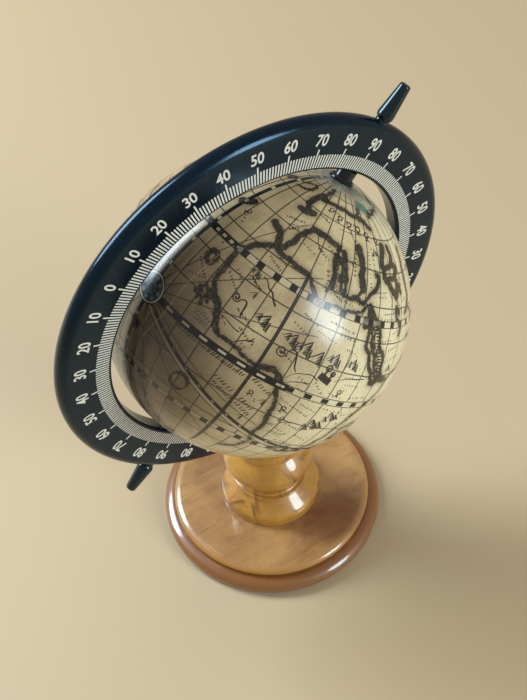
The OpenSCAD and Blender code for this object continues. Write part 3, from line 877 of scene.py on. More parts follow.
class Trail:
    """Broad lines on the ball, which tell how far a place is from the edge of the nearest."""

    def __init__(self, lines):
        spots, self.halves = [], []
        for width, points in lines:
            track = on_ball(*np.array(points).T) * EARTH
            for start, end in zip(track, track[1:]):
                steps = max(1, int(np.linalg.norm(end - start) / 0.25))
                spots += [start + (end - start) * step / steps for step in range(steps + 1)]
                self.halves += [width / 2] * (steps + 1)
        self.tree = kdtree.KDTree(len(spots))
        for index, spot in enumerate(spots):
            self.tree.insert(Vector(spot), index)
        self.tree.balance()

    def outside(self, place):
        """Millimetres from the edge of the nearest line, less than 0 on the line."""
        index, away = self.tree.find(Vector(place))[1:]
        return away - self.halves[index]


def rounded(points, turns=2):
    """Cuts the corners of a line, again and again, until it is smooth."""
    for turn in range(turns):
        longer = [points[0]]
        for (x, y), (next_x, next_y) in zip(points, points[1:]):
            longer += [(0.75 * x + 0.25 * next_x, 0.75 * y + 0.25 * next_y),
                       (0.25 * x + 0.75 * next_x, 0.25 * y + 0.75 * next_y)]
        points = longer + points[-1:]
    return points


def shore_lines():
    """The dark shores of the whole map, as widths and wandering points."""
    rng = random.Random(CHART_SEED)
    lines = [(width, wander(pairs(text), rng, 3)) for width, text in NEAR_SHORES]
    for text in FAR_SHORES:
        true = np.array(pairs(text))
        points = list(zip(np.interp(true[:, 0], *LONGITUDES), np.interp(true[:, 1], *LATITUDES)))
        lines.append((FAR_WIDTH, wander(points, rng, 4)))
    for reach, turn in ISLE_PETALS:
        lines.append((1.9, [spot_near(ISLE_MIDDLE, share * reach, turn) for share in (0.35, 0.6, 0.85)]))
    return lines


def fringe(lines, gap, rng):
    """Short strokes of ink across the edges of the shores."""
    strokes = []
    for width, points in lines:
        squash = math.cos(math.radians(points[0][1]))
        for (x, y), (next_x, next_y) in zip(points, points[1:]):
            across, along = (next_x - x) * squash, next_y - y
            step = math.hypot(across, along) * MM_PER_DEGREE
            if step == 0 or rng.random() > step / gap:
                continue
            side = rng.choice((-1, 1))
            reach = width / 2 + rng.uniform(0.1, 0.7)
            turn = math.degrees(math.atan2(across * side, -along * side)) + rng.uniform(-25, 25)
            start, end = spot_near((x, y), width * 0.3, turn), spot_near((x, y), reach, turn)
            strokes.append([(*start, 0.34), (*end, 0.2)])
    return strokes


# Signs of the map. Each sign takes its size and a source of random numbers, and gives its strokes

def spot_near(middle, reach, turn):
    """Degrees of a place some millimetres from another, at a turn in degrees from east."""
    turn = math.radians(turn)
    squash = MM_PER_DEGREE * max(0.15, math.cos(math.radians(middle[1])))
    return (middle[0] + reach * math.cos(turn) / squash,
            middle[1] + reach * math.sin(turn) / MM_PER_DEGREE)


def bow(start, end, rise, width, steps=6):
    """A curved stroke, thinner at both ends. A stroke is a list of (right, up, width) in millimetres."""
    stroke = []
    for step in range(steps + 1):
        share = step / steps
        bulge = math.sin(math.pi * share)
        across = (start[0] + (end[0] - start[0]) * share, start[1] + (end[1] - start[1]) * share)
        normal = (start[1] - end[1], end[0] - start[0])
        stroke.append((across[0] + normal[0] * rise * bulge, across[1] + normal[1] * rise * bulge,
                       width * (0.5 + 0.5 * bulge)))
    return stroke


def round_stroke(middle, reach, width):
    """A small circle of eight sides."""
    turns = [step * math.pi / 4 for step in range(9)]
    return [(middle[0] + reach * math.cos(turn), middle[1] + reach * math.sin(turn), width)
            for turn in turns]


def hill(size, rng):
    """A low hump with one short stroke of shade."""
    width = 0.20 * size + 0.10
    return [bow((-size / 2, 0), (size / 2, 0), 0.5 + rng.uniform(-0.1, 0.1), width),
            [(size * 0.12, size * 0.36, width), (size * 0.22, size * 0.05, width * 0.6)]]


def tuft(size, rng):
    """Two blades that lean apart."""
    width = 0.20 * size + 0.11
    lean = rng.uniform(-0.2, 0.2) * size
    return [[(0, 0, width), (lean, size * 0.9, width * 0.7)],
            [(size * 0.05, 0, width), (size * 0.42 + lean, size * 0.6, width * 0.6)]]


def wave(size, rng):
    """A bow up and a bow down."""
    width = 0.18 * size + 0.10
    return [bow((-size / 2, 0), (0, 0), rng.uniform(0.3, 0.5), width, 4),
            bow((0, 0), (size / 2, 0), -rng.uniform(0.3, 0.5), width, 4)]


def hatch(size, rng):
    """One leaning stroke."""
    width = 0.26 * size + 0.08
    lean = rng.uniform(0.15, 0.45) * size
    return [[(-lean / 2, 0, width), (lean / 2, size * rng.uniform(0.7, 1.0), width * 0.8)]]


def tree(size, rng):
    """A round crown on a short trunk."""
    width = 0.17 * size
    crown = round_stroke((0, size * 0.65), size * 0.3, width)
    return [crown, [(0, 0, width * 1.4), (0, size * 0.4, width)],
            bow((-size * 0.3, 0), (size * 0.35, 0), 0.12, width, 4)]


def peak(size, rng):
    """A tall hatched mountain."""
    width = 0.115 * size
    foot, top = size * 0.5, size * rng.uniform(0.85, 1.05)
    strokes = [[(-foot, 0, width * 0.7), (-foot * 0.45, top * 0.55, width),
                (-foot * 0.05, top, width * 1.2), (foot * 0.35, top * 0.6, width * 1.3),
                (foot, 0, width * 0.8)]]
    for share in (0.2, 0.4, 0.6, 0.8):
        across, up = foot * 0.95 * share, top * (1 - share) + width * 0.3
        strokes.append([(across, up, width * 1.5),
                        (across - foot * 0.3, max(0, up - top * 0.5), width * 0.5)])
    return strokes


def range_of_peaks(size, rng):
    """Three mountains side by side."""
    strokes = []
    for across, share in ((-0.42, 0.62), (0.4, 0.7), (0, 1.0)):
        for stroke in peak(size * share * 0.75, rng):
            strokes.append([(x + across * size * 0.75, y, width) for x, y, width in stroke])
    return strokes


def town(size, rng):
    """A walled hill town: a dark mound with two domed towers."""
    width = size * 0.16
    strokes = [[(-size * 0.42, level * size, width), (size * 0.42, (level - 0.05) * size, width)]
               for level in (0.05, 0.18, 0.3)]
    for middle, height, reach in ((-0.18, 0.72, 0.17), (0.24, 0.58, 0.13)):
        strokes.append(round_stroke((size * middle, size * height), size * reach, width * 0.7))
        strokes.append([(size * middle, size * 0.3, width),
                        (size * middle, size * (height + reach * 0.4), width * 0.8)])
    return strokes


def scroll(size, rng):
    """A spiral that runs out into a long tail."""
    coil = []
    for step in range(25):
        share = step / 24
        turn = math.radians(200 + 560 * share)
        reach = size * (0.05 + 0.24 * share)
        coil.append((reach * math.cos(turn), reach * math.sin(turn), 0.8 - 0.3 * share))
    across, up = coil[-1][:2]
    for step in range(1, 15):
        share = step / 14
        sway = 0.32 * math.sin(share * 4.4 + 0.4) * (1 - 0.3 * share) - 0.12 * share
        coil.append((across + size * share, up + size * sway, 0.46 + 0.3 * math.sin(share * math.pi)))
    return [coil]


def swirl(size, rng):
    """A round whirl of two thick arms."""
    turns = [math.radians(turn) for turn in range(0, 181, 15)]
    return [[(size * 0.42 * math.cos(start + turn), size * 0.5 * math.sin(start + turn),
              size * (0.06 + 0.26 * math.sin(turn))) for turn in turns] for start in (0, math.pi)]


def river(points, width, rng):
    """A wandering line of ink along drawn degrees."""
    track = wander(rounded(points), rng, 1, 0.12)
    return [[(x, y, width * (0.6 + 0.8 * step / len(track))) for step, (x, y) in enumerate(track)]]


def placed(strokes, middle, turn=0.0):
    """The strokes of a sign, moved from millimetres to drawn degrees round its middle."""
    turn = math.radians(turn)
    squash = MM_PER_DEGREE * max(0.15, math.cos(math.radians(middle[1])))
    return [[(middle[0] + (x * math.cos(turn) - y * math.sin(turn)) / squash,
              middle[1] + (x * math.sin(turn) + y * math.cos(turn)) / MM_PER_DEGREE, width)
             for x, y, width in stroke] for stroke in strokes]


def row(sign, start, end, count, size, rng):
    """The same sign again and again along a line, each a little different."""
    squash = math.cos(math.radians((start[1] + end[1]) / 2))
    turn = math.degrees(math.atan2(end[1] - start[1], (end[0] - start[0]) * squash))
    strokes = []
    for step in range(count):
        share = (step + rng.uniform(-0.15, 0.15)) / max(1, count - 1)
        middle = (start[0] + (end[0] - start[0]) * share, start[1] + (end[1] - start[1]) * share)
        strokes += placed(sign(size * rng.uniform(0.8, 1.15), rng), middle, turn + rng.uniform(-6, 6))
    return strokes


# Rows of small signs on the near side: both ends in drawn degrees, number and size
SIGN_ROWS = (
    (hatch, """-2.5 31 7.5 14 16 2.6  -1 30 9 13.5 14 2.0  -71 -1 -43.5 -2 30 2.0
    -71.5 2.2 -64 1.8 9 1.1"""),
    (wave, "-69.5 9.5 -64 8.5 6 1.0"),
    (hatch, "-69 8 -63 7 9 1.1  -68.5 6.6 -62.5 5.6 9 1.1  -68 5.2 -61.5 4.4 9 1.1"),
    (wave, "-66 10.8 -63.5 10.5 4 1.0"),
    (hatch, """-51 -7.5 -44 -9.5 6 1.9  -50.5 -10 -43 -12.5 8 1.9  -41 -10 -34 -12.5 6 1.9
    -40 -13 -33.5 -15.5 6 1.9  -39.5 -1.5 -32 -4 7 1.9"""),
    (wave, "-38.5 -5.5 -35 -8 3 1.6"), (tuft, "-67.5 24 -59.5 19.5 9 1.1  -66 26.5 -62 24 4 1.2"),
    (hill, "-60 27 -55 25.5 5 1.9"), (tuft, "-59.5 36.5 -53 34.5 7 1.1  -57 38.5 -52 37 6 1.0"),
    (hatch, "-63 33 -60 31.5 4 1.2"), (tuft, "-53.5 11.5 -47 9 7 1.3  -52 14 -49 13 4 1.0"),
    (hill, "-57 16 -52 14.5 4 1.6"), (tuft, "-50 7.5 -48.5 7 2 1.2"), (hill, "-62 12 -58.5 10 3 1.5"),
    (tuft, "-38 12.5 -32.5 10.5 6 1.1  -37 16.5 -33 15 4 0.9  -38 22.5 -31 20.5 6 1.0"),
    (hill, "-36 26.5 -30 25 5 1.3"), (tuft, "-28.5 23.5 -20 22 8 1.0"), (hill, "-25 28 -14 27 7 1.3"),
    (tuft, "-18.5 25 -12.5 24.5 5 1.5  -14 21 -9.5 20.5 4 1.0  -26.5 6.5 -21.5 5 5 1.0"),
    (hill, "-24.5 2.5 -21 1.8 3 1.1"),
    (tuft, "-29 2.6 -26 2.1 4 1.0  -20 7 -16 4 4 1.2  -9 11.5 -3 11.6 6 1.0  -7.5 9 -1 9 6 0.9"),
    (hill, "-1 13.5 3 12.6 4 1.0"),
    (tuft, """-28 -3 -23 -4.5 5 1.0  -20 -2.5 -13 -4 7 1.0  -22 -4.5 -14.5 -6.8 7 1.2
    -24.5 -15 -18 -16.5 6 1.0"""),
    (hill, "-19 -12.5 -14 -13.5 4 1.2"), (tuft, "-22.5 -18.5 -16 -20 6 0.9"),
    (hill, "-12 4.5 -6 3.5 4 1.2"), (tuft, "-1 4 7 4.5 6 1.1"), (hill, "-12 -1.8 0 -2.6 7 1.1"),
    (tuft, "1 -4 6 -3 4 1.1"), (hill, "2 -8 4.5 -12 3 1.3"), (tuft, "-11 -17 -5 -19 4 1.3"),
    (hill, "-16 -22 -8 -22.8 5 1.2"),
    (tuft, "-66 52 -56.5 54 9 1.0  -60 48.5 -57 50.5 4 1.2  -51 61 -44 60 6 1.1"),
    (hill, "-62 50 -58 51.5 3 1.2"), (tuft, "-43 48.5 -36 46.5 5 1.0  -35 43.5 -33 40 3 1.6"),
    (hill, "-50 47 -44 46 4 1.1"),
    (tuft, "-38 51 -34.5 50 3 1.0  -22 58.5 -20.5 46 9 1.4  -11 56.5 -9 44 9 1.0"),
    (hill, "-8 58 -6 48 6 1.3  -30 38 -24 35.5 6 1.2"),
    (hatch, "-33 38.5 -13 36.6 16 1.5  -31 36.8 -18 35.4 10 1.1"), (hill, "-34 60 -24 60.5 5 1.3"),
    (tuft, "-30 64.5 -18 64.5 6 1.2"), (hill, "-40 66 -34 65.5 3 1.4  3 35.5 10 36 5 1.3"),
    (tuft, "1.5 33.5 9 33.8 5 1.2"), (hill, "2.5 26 10 26.5 5 1.3"),
    (tuft, "10.5 22.5 17 24 5 1.4  11 18.5 19 20 5 1.4"),
    (hill, "12 29 17 30 4 1.2  -3.5 42.5 3 43 4 1.2"), (tuft, "-2 41 2.5 41.3 4 1.0"),
    (hill, "20 44 21 50 4 1.4"),
    (tuft, """20 40 24 41 4 1.2  -84 33 -78 30 4 1.2  -81.5 43.5 -79.5 40 4 1.2  -79 15.5 -74 17 5 1.0
    -80 21.5 -73.5 17.5 7 1.2  -83 -4 -81 -12 4 1.2"""),
)
# Larger signs on the near side: place in drawn degrees, size and turn
BIG_SIGNS = (
    (range_of_peaks, "-48.5 16.5 7.5 -28  -36.5 15.8 7.2 -28  -30.5 15 7.5 -26"),
    (peak, "-24.5 13.5 6.0 -24"), (range_of_peaks, "-17.5 15 6.8 -20  -8.5 15.2 6.4 -16"),
    (swirl, "-60.5 -18 8.4 -20"), (town, "-17.5 8.5 7.6 -14"),
    (range_of_peaks, "-8 -12.5 10.0 20  -3 -7 8.0 20"), (scroll, "-60 19.5 6.5 -38  -37 12.5 8.5 -20"),
    (tree, """-47.5 65 3.2 -40  -38 63 3.4 -25  -28.5 62 3.6 -10  -19 61.5 4.0 0  -10 60.5 4.0 5
    0 60 3.6 10"""),
    (range_of_peaks, "-60 28.5 5.0 -20"), (peak, "-56 22.5 2.8 -30"),
    (tree, "-8.5 4.5 3.0 -10  -25 -8 3.4 -20  -22.5 -12 3.0 -20  -38.5 -7 2.8 -30"),
    (peak, "-33 36.5 2.6 -20"), (range_of_peaks, "-4 55.5 4.0 10"), (peak, "-23 49 2.4 -10"),
    (tree, "-82.5 43 3.0 -50"), (peak, "-33 -8 3.0 -30  -36 -18 3.0 -30"),
    (range_of_peaks, "15 15 4.5 5"),
)
# Rivers on the near side: width, then longitude and latitude by turns
RIVERS = (
    (0.45, "-66.5 15.5 -64.5 16 -63 15 -62.5 13 -61.5 12"),
    (0.4, "-61.5 12 -58 11.5 -55 10.5 -52.5 10.5"), (0.55, "-52.5 6.5 -50.5 8.5 -48 10 -46.5 10.5"),
    (0.4, "-48 10 -47 11.5"), (0.6, "-56.5 30 -54 29.5 -52.5 27.5 -50.5 27.5 -49 25.5 -47 24"),
    (0.4, "-31 4.5 -29 7.5 -26 8.5 -22.5 9.5 -19.5 8"), (0.5, "-28.5 -5 -26 -5 -24 -7 -22 -7.5"),
    (0.4, "-30 3 -27 5 -22 6"), (0.4, "-13 9.5 -9 11.5 -4 12 1 12.5"), (0.4, "-10 3.5 -7 5.5 -6.5 7.5"),
    (0.45, "-6 38 -4 34 -5.5 29"), (0.4, "-12 24 -10.5 19 -11.5 14"),
    (0.45, "-46 54 -45 51 -42.5 49 -40 48.5"), (0.4, "-21 57 -24.5 60 -25.5 62"),
    (0.4, "5 46 7 43 8.5 41 8 38.5"), (0.4, "-26 -15 -22 -14 -20.5 -11.5 -17 -11"),
    (0.4, "-21.5 -17.5 -17.5 -18.5 -15 -17"), (0.4, "20 36 16 39 12.5 41"),
)
# Signs that are sown over the rest of the map: sign, size and number in a row
SOWN_SIGNS = ((hill, 1.5, 4), (tuft, 1.3, 5), (tree, 2.8, 1), (wave, 1.5, 3), (range_of_peaks, 5.0, 1))
# A thin pale line down the edge of the dark western ocean, in drawn degrees
PALE_STREAK = "-73 32 -75 27 -75.5 21 -76.5 16 -77 10 -77 4 -77.5 -2 -79 -8 -80.5 -14"


def sown(rng, count):
    """Single small signs strewn over the rest of the map, clear of the front."""
    strokes = []
    for number in range(count):
        longitude = rng.uniform(30, 265)
        latitude = math.degrees(math.asin(rng.uniform(-0.85, 0.85)))
        sign, size, repeat = rng.choice(SOWN_SIGNS)
        length_of_row = repeat * size * 0.9 / math.cos(math.radians(latitude))
        end = (longitude + length_of_row, latitude + rng.uniform(-2, 2))
        strokes += row(sign, (longitude, latitude), end, repeat, size, rng)
    return strokes


def closer(stroke, gap):
    """The same stroke with further points, so that none lies more than a gap from the next."""
    stroke = np.array(stroke)
    places = on_ball(stroke[:, 0], stroke[:, 1]) * EARTH
    points = [stroke[0]]
    lengths = np.linalg.norm(np.diff(places, axis=0), axis=1)
    for start, end, step in zip(stroke, stroke[1:], lengths):
        pieces = max(1, math.ceil(step / gap))
        points += [start + (end - start) * (piece + 1) / pieces for piece in range(pieces)]
    return points


def inked(name, strokes, radius, rise):
    """Makes strokes in drawn degrees into flat raised ink on the ball, pole up."""
    curve = bpy.data.curves.new(name, "CURVE")
    curve.dimensions = "3D"
    curve.bevel_depth = MM / 2
    curve.bevel_resolution = 1
    curve.use_fill_caps = True
    for stroke in strokes:
        stroke = closer(stroke, 1.3)
        longitude, latitude, width = np.array(stroke).T
        track = on_ball(longitude, latitude) * radius
        spline = curve.splines.new("POLY")
        spline.points.add(len(stroke) - 1)
        for knot, place, broad in zip(spline.points, track, width):
            knot.co = (*place, 1)
            knot.radius = broad
    piece = bpy.data.objects.new(name, curve)
    bpy.context.scene.collection.objects.link(piece)
    on_its_own(piece)
    bpy.ops.object.convert(target="MESH")
    piece = bpy.context.object
    # The strokes' end caps come apart from them
    caps = piece.modifiers.new("caps", "WELD")
    caps.merge_threshold = WELD
    bpy.ops.object.modifier_apply(modifier=caps.name)
    # Presses the round strokes almost flat on the ball
    points = points_of(piece.data)
    reach = np.linalg.norm(points, axis=1, keepdims=True)
    away = np.clip((reach - radius) / (0.2 * MM), -1, 1) * rise
    piece.data.vertices.foreach_set("co", (points / reach * (radius + away)).ravel())
    settle(piece, NORTH)
    bpy.ops.object.shade_flat()
    return piece


def half_skin(name, sizes, cuts):
    """The northern half of a hollow ball of paper, pole up, closed at the equator and the pole."""
    halves = []
    for radius, share in ((sizes.radius, cuts), (sizes.inner_radius, (4, 7))):
        bpy.ops.object.select_all(action="DESELECT")
        bpy.ops.mesh.primitive_cube_add(size=2)
        half = bpy.context.object
        with editing():
            for cut in share:
                bpy.ops.mesh.subdivide(number_cuts=cut - 1)
        # Spreads the squares evenly before they are pushed out to the ball
        mesh = half.data
        grid = np.tan(points_of(mesh) * math.pi / 4)
        grid /= np.linalg.norm(grid, axis=1, keepdims=True)
        mesh.vertices.foreach_set("co", (grid * radius).ravel())
        # Leaves nothing selected before faces are chosen one by one
        with editing("DESELECT", "FACE"):
            pass
        for polygon in mesh.polygons:
            middle = polygon.center
            polygon.select = middle.z < 0 or math.hypot(middle.x, middle.y) < sizes.pole_hole_radius
        with editing(None, "FACE"):
            bpy.ops.mesh.delete(type="FACE")
            if halves:
                bpy.ops.mesh.select_all(action="SELECT")
                bpy.ops.mesh.flip_normals()
        halves.append(half)
    on_its_own(halves[0])
    halves[1].select_set(True)
    bpy.ops.object.join()
    piece = bpy.context.object
    piece.name = name
    for low in (True, False):
        with editing("DESELECT", "EDGE"):
            bpy.ops.mesh.select_non_manifold()
        for edge in piece.data.edges:
            heights = [piece.data.vertices[index].co.z for index in edge.vertices]
            edge.select = edge.select and (max(heights) < 1 * MM) == low
        with editing(None, "EDGE"):
            bpy.ops.mesh.bridge_edge_loops()
    bpy.ops.object.shade_smooth_by_angle(angle=math.radians(40))
    return piece


def varnish(recipe, place, shade):
    """Finishes a printed surface with the clear varnish of the ball."""
    fibres = recipe.noise(place, 1500, 3, 0.6)
    smears = recipe.noise(place, 70, 3)
    return recipe.finish(
        Base_Color=shade, Roughness=0.5, Specular_IOR_Level=0.1, Coat_Weight=1.0, Coat_IOR=1.5,
        Coat_Roughness=0.22,
        Normal=recipe.bump(fibres, 0.06, 0.0001), Coat_Normal=recipe.bump(smears, 0.12, 0.0008))


def printed_ink(name, tint, thin_tint):
    """Ink of the printed signs, thinner here and there."""
    recipe = Recipe(name)
    place = recipe.place()
    worn = recipe.ranged(recipe.noise(place, 900, 3, 0.6), 0.48, 0.72)
    return varnish(recipe, place, recipe.mix(worn * 0.55, tint, thin_tint))


# Tints that lie over the paper; the western brown, the eastern pale and the ocean brown are partly
# painted shade and light
WEST_BROWN_AND_SHADE = (0.27, 0.175, 0.085, 1)
PALE_EAST_AND_LIGHT = (0.95, 0.84, 0.55, 1)
OCEAN_BROWN_AND_SHADE = (0.026, 0.016, 0.011, 1)
CELL_BUFF = (0.62, 0.50, 0.33, 1)
BAND_BUFF = (0.62, 0.53, 0.37, 1)
SLATE_DARK, SLATE_PALE = (0.014, 0.022, 0.028, 1), (0.050, 0.068, 0.070, 1)
PETAL_GREY = (0.15, 0.19, 0.19, 1)
CIRCLE_BUFF = (0.40, 0.36, 0.27, 1)
FAR_GREEN = (0.10, 0.24, 0.16, 1)
CAP_DARK, CAP_PALE = (0.030, 0.038, 0.040, 1), (0.24, 0.27, 0.25, 1)
# Lines of the map in drawn degrees: the circles, the two marked meridians and the steps of the net
EQUATOR, TROPICS_MIDDLE, TROPIC = 1.5, 2.3, 30.0
PRIME, SEAM = -87.0, -41.5
MERIDIAN_STEP, PARALLEL_STEP = 10.0, 12.2


def by_side(side, here, there):
    """One print where the side is 1, and another where it is 0."""
    return side * here | (1.0 - side) * there


class MapPaper(Recipe):
    """Aged printed paper. Its patterns follow longitude and latitude in drawn degrees."""

    def __init__(self, colours, sizes):
        super().__init__("map_paper")
        self.colours, self.sizes = colours, sizes
        self.thin = sizes.line_width / MM / 2
        self.spot = self.place()
        local = self.mapped(self.spot, location=CENTRE, rotation=(0, TILT, 0),
                            scale=[sizes.radius] * 3, kind="TEXTURE")
        self.x, self.y, self.z = self.parts(local)
        self.latitude = self.math("ARCSINE", self.z) * math.degrees(1)
        self.longitude = self.math("ARCTAN2", self.x, self.y * -1.0) * math.degrees(1)
        self.narrowing = self.math("SQRT", 1.0 - self.z * self.z)
        self.meridian_mm = self.narrowing * MM_PER_DEGREE
        self.stains = self.noise(self.spot, 26, 4, 0.6)
        self.clouds = self.noise(self.spot, 120, 4, 0.65)
        self.mottle = self.noise(self.spot, 520, 4, 0.7)
        self.grit = self.noise(self.spot, 1100, 3, 0.6)
        # Dark round the western ocean: partly print and partly painted shade of the ring and of the side
        # away from the lamps
        depth = self.reach((self.longitude + 82.0) * 1.2, (self.latitude + 22.0) * 0.8)
        self.gloom = self.ranged(depth + self.stains * 26.0, 28.0, 70.0, 0.94, 0.0)
        # Millimetres and bearing from the middle of the compass, one on each side of the ball
        folded = self.math("RADIANS", self.math("WRAP", self.longitude + 87.2, 90.0, -90.0))
        east, north = self.narrowing * self.math("SINE", folded), self.z - 0.040
        self.ahead = self.narrowing * self.math("COSINE", folded)
        self.away = self.reach(east, north) * EARTH
        self.bearing = self.math("ARCTAN2", north, east)

    def aged(self):
        """Plain paper: stained, browner in the west, paler in the east and dark in the western ocean,
        partly from age and print and partly painted shade and light.
        """
        latitude, longitude, colours = self.latitude, self.longitude, self.colours
        # Paler in the east and browner in the west: partly the paper's age, partly painted light on the
        # side towards the lamps and painted shade on the side away from them
        pale = (self.ranged(longitude - latitude * 0.3, -38.0, -2.0, 0.0, 0.8)
                * self.ranged(longitude, 60.0, 150.0, 1.0, 0.0))
        brown = (self.ranged(longitude + self.stains * 40.0, -55.0, 5.0, 0.72, 0.0)
                 * self.ranged(longitude, -175.0, -130.0, 0.0, 1.0)
                 * self.ranged(latitude, 25.0, 50.0, 1.0, 0.45))
        # Each square of the net is a little paler than the next
        corner = self.add("ShaderNodeCombineXYZ", {
            0: self.math("FLOOR", longitude * (1 / MERIDIAN_STEP) + 0.15),
            1: self.math("FLOOR", latitude * (1 / PARALLEL_STEP) - 0.1)})
        cell = self.add("ShaderNodeTexWhiteNoise", {"Vector": corner.outputs[0]}, noise_dimensions="2D")
        fibres = self.noise(self.spot, 1500, 3, 0.6)
        return self.laid(
            self.mix(self.ranged(self.stains, 0.34, 0.66), colours.paper_dark, colours.paper),
            (self.ranged(self.clouds, 0.45, 0.75, 0.0, 0.5), tinted(colours.paper_dark, 0.8)),
            (brown, WEST_BROWN_AND_SHADE), (pale, PALE_EAST_AND_LIGHT), (self.gloom, OCEAN_BROWN_AND_SHADE),
            (Pattern(self, cell.outputs[0]) * 0.14, CELL_BUFF),
            (self.ranged(fibres, 0.4, 0.75) * 0.30, tinted(colours.paper, 0.45)),
            (self.ranged(self.grit, 0.58, 0.70) * 0.5, tinted(colours.paper_dark, 0.4)))

    def shores(self, shade):
        """Broad mottled bands with a frayed edge, and pale isles in them."""
        dark = tinted(self.colours.paper_dark, 0.5)
        edge = self.attribute("shore") + (self.clouds - 0.5) * 1.6 + (self.grit - 0.5) * 1.5
        isle = self.within(self.attribute("isle") + (self.grit - 0.5), 0.0, 0.15)
        band = self.within(edge, 0.0, 0.16) * (1.0 - isle)
        flecks = self.ranged(self.mottle, 0.50, 0.68)
        return self.laid(shade, (self.ranged(edge, 0.0, 2.2, 0.5, 0.0), dark),
                         (band * 0.95, self.mix(flecks * 0.42, self.colours.ink, dark)))

    def steps(self, value, step, start, share):
        """1 on the first share of every step."""
        return self.math("FRACT", (value - start) * (1 / step)) < share

    def rails(self, off, half, width):
        """1 on the two lines that edge a band."""
        return self.within(abs(off - (half - width / 2)), width / 2)

    def equator(self):
        """The pale ground of the banded equator, its print, and the western squares that stay pale."""
        off = abs(self.latitude - EQUATOR) * MM_PER_DEGREE
        west = self.longitude < -28.0
        ground = self.within(off, 1.6)
        cells = self.within(off, 0.5) * self.steps(self.longitude, 7.6, -24.7, 0.42)
        ladder = (self.rails(off, 1.6, 0.34)
                  | self.within(off, 1.05) * self.steps(self.longitude, 7.6, -28.5, 0.42))
        return ground, by_side(west, ground - cells, ladder), cells * west

    def tropics(self):
        """The pale ground and the print of both tropics."""
        off = abs(abs(self.latitude - TROPICS_MIDDLE) - TROPIC) * MM_PER_DEGREE
        ground = self.within(off, 1.5)
        cells = self.within(off, 0.6) * self.steps(self.longitude, 4.0, 0, 0.45)
        ladder = (self.rails(off, 1.5, 0.34)
                  | self.within(off, 1.25) * self.steps(self.longitude, 7.75, -61.6, 0.40))
        return ground, by_side(self.longitude < -71.0, ground - cells, ladder)

    def ecliptic(self):
        """The pale ground and the print of the slanting circle."""
        slant = self.math("SINE", self.math("RADIANS", self.longitude - PRIME)) * -26.0
        off = (self.latitude - slant) * (MM_PER_DEGREE * 0.93)
        dashes = self.within(abs(off), 0.32) * self.steps(self.longitude, 7.0, 2.0, 0.16)
        lines = self.within(abs(off), 0.85) - dashes | self.within(abs(off + 2.45), 0.2)
        return self.within(abs(off + 1.5), 0.8), lines

    def prime_meridian(self):
        """The pale ground and the print of the banded meridian."""
        off = abs(self.longitude - PRIME) * self.meridian_mm
        ground = self.within(off, 0.85)
        return ground, ground * self.steps(self.latitude, 11.0, 3.0, 0.86) | self.rails(off, 0.85, 0.3)

    def seam(self):
        """The double line where two gores of the paper meet."""
        off = abs(self.longitude - SEAM) * self.meridian_mm
        reach = self.within(abs(self.latitude + 3.0), 43.0, 1.0)
        return (self.within(off, 0.7) - self.within(off, 0.12, 0.1) * 0.6) * reach

    def lines(self, shade):
        """The degree net, the rays of the compass, the banded circles and the seam."""
        meridians = self.math("PINGPONG", self.longitude - SEAM, MERIDIAN_STEP / 2) * self.meridian_mm
        parallels = self.math("PINGPONG", self.latitude - 1.3, PARALLEL_STEP / 2) * MM_PER_DEGREE
        net = (self.within(meridians, self.thin) * self.ranged(self.narrowing, 0.17, 0.2)
               | self.within(parallels, self.thin))
        off_ray = self.math("SINE", self.math("PINGPONG", self.bearing, math.radians(11.25))) * self.away
        rays = self.within(off_ray, self.thin * 0.8) * self.ranged(self.ahead, 0.45, 0.5)
        equator_ground, equator, cells = self.equator()
        tropic_ground, tropic = self.tropics()
        ecliptic_ground, ecliptic = self.ecliptic()
        prime_ground, prime = self.prime_meridian()
        ground = equator_ground | tropic_ground | ecliptic_ground | prime_ground
        ink = (net * 0.9 | rays * 0.85) * (1.0 - ground)
        ink = ink | equator | tropic | ecliptic | prime | self.seam()
        fade = self.ranged(self.mottle, 0.58, 0.85, 1.0, 0.7)
        # The pale bands dim under the gloom and its painted shade
        return self.laid(shade, ((ground * 0.3 | cells * 0.7) * (1.0 - self.gloom * 0.7), BAND_BUFF),
                         (ink * fade, self.colours.ink))

    def medallion(self, shade):
        """A round compass in slate grey with two rings of petals."""
        disc = self.sizes.medallion_radius / MM
        slate = self.mix(self.ranged(self.mottle, 0.42, 0.62), SLATE_DARK, SLATE_PALE)
        beside = self.math("SINE", self.math("PINGPONG", self.bearing, math.radians(22.5))) * self.away
        for ring_radius, petal in ((0.66, 0.8), (0.34, 0.45)):
            near_petal = self.reach(beside, self.away - disc * ring_radius) + (self.mottle - 0.5) * 1.2
            slate = self.mix(self.within(near_petal, petal, 0.3) * 0.8, slate, PETAL_GREY)
        slate = self.laid(slate, (self.within(abs(self.away - (disc - 0.55)), 0.28), CIRCLE_BUFF),
                          (self.within(abs(self.away - disc), 0.3), self.colours.ink))
        return self.mix(self.within(self.away, disc + 0.25), shade, slate)

    def poles(self, shade):
        """A green tint in the far north and a mottled grey-blue cap round the poles."""
        spot = on_ball(-4.0, 75.5)
        dab = self.reach(self.x - float(spot[0]), self.y - float(spot[1]))
        green = self.within(dab * EARTH + self.clouds * 6.0, 6.3, 0.5) * (self.z > 0.0) * 0.8
        cap = self.ranged(self.stains * 0.16 + self.narrowing, 0.20, 0.38, 0.85, 0.0)
        # Mottled grey-blue round the poles
        cap_mottle = self.mix(self.ranged(self.mottle, 0.42, 0.6), CAP_DARK, CAP_PALE)
        return self.laid(shade, (green, FAR_GREEN), (cap, cap_mottle))


def map_paper(colours, sizes):
    """The finished paper of the map under its varnish."""
    paper = MapPaper(colours, sizes)
    shade = paper.aged()
    for step in (paper.shores, paper.lines, paper.medallion, paper.poles):
        shade = step(shade)
    return varnish(paper, paper.spot, shade)


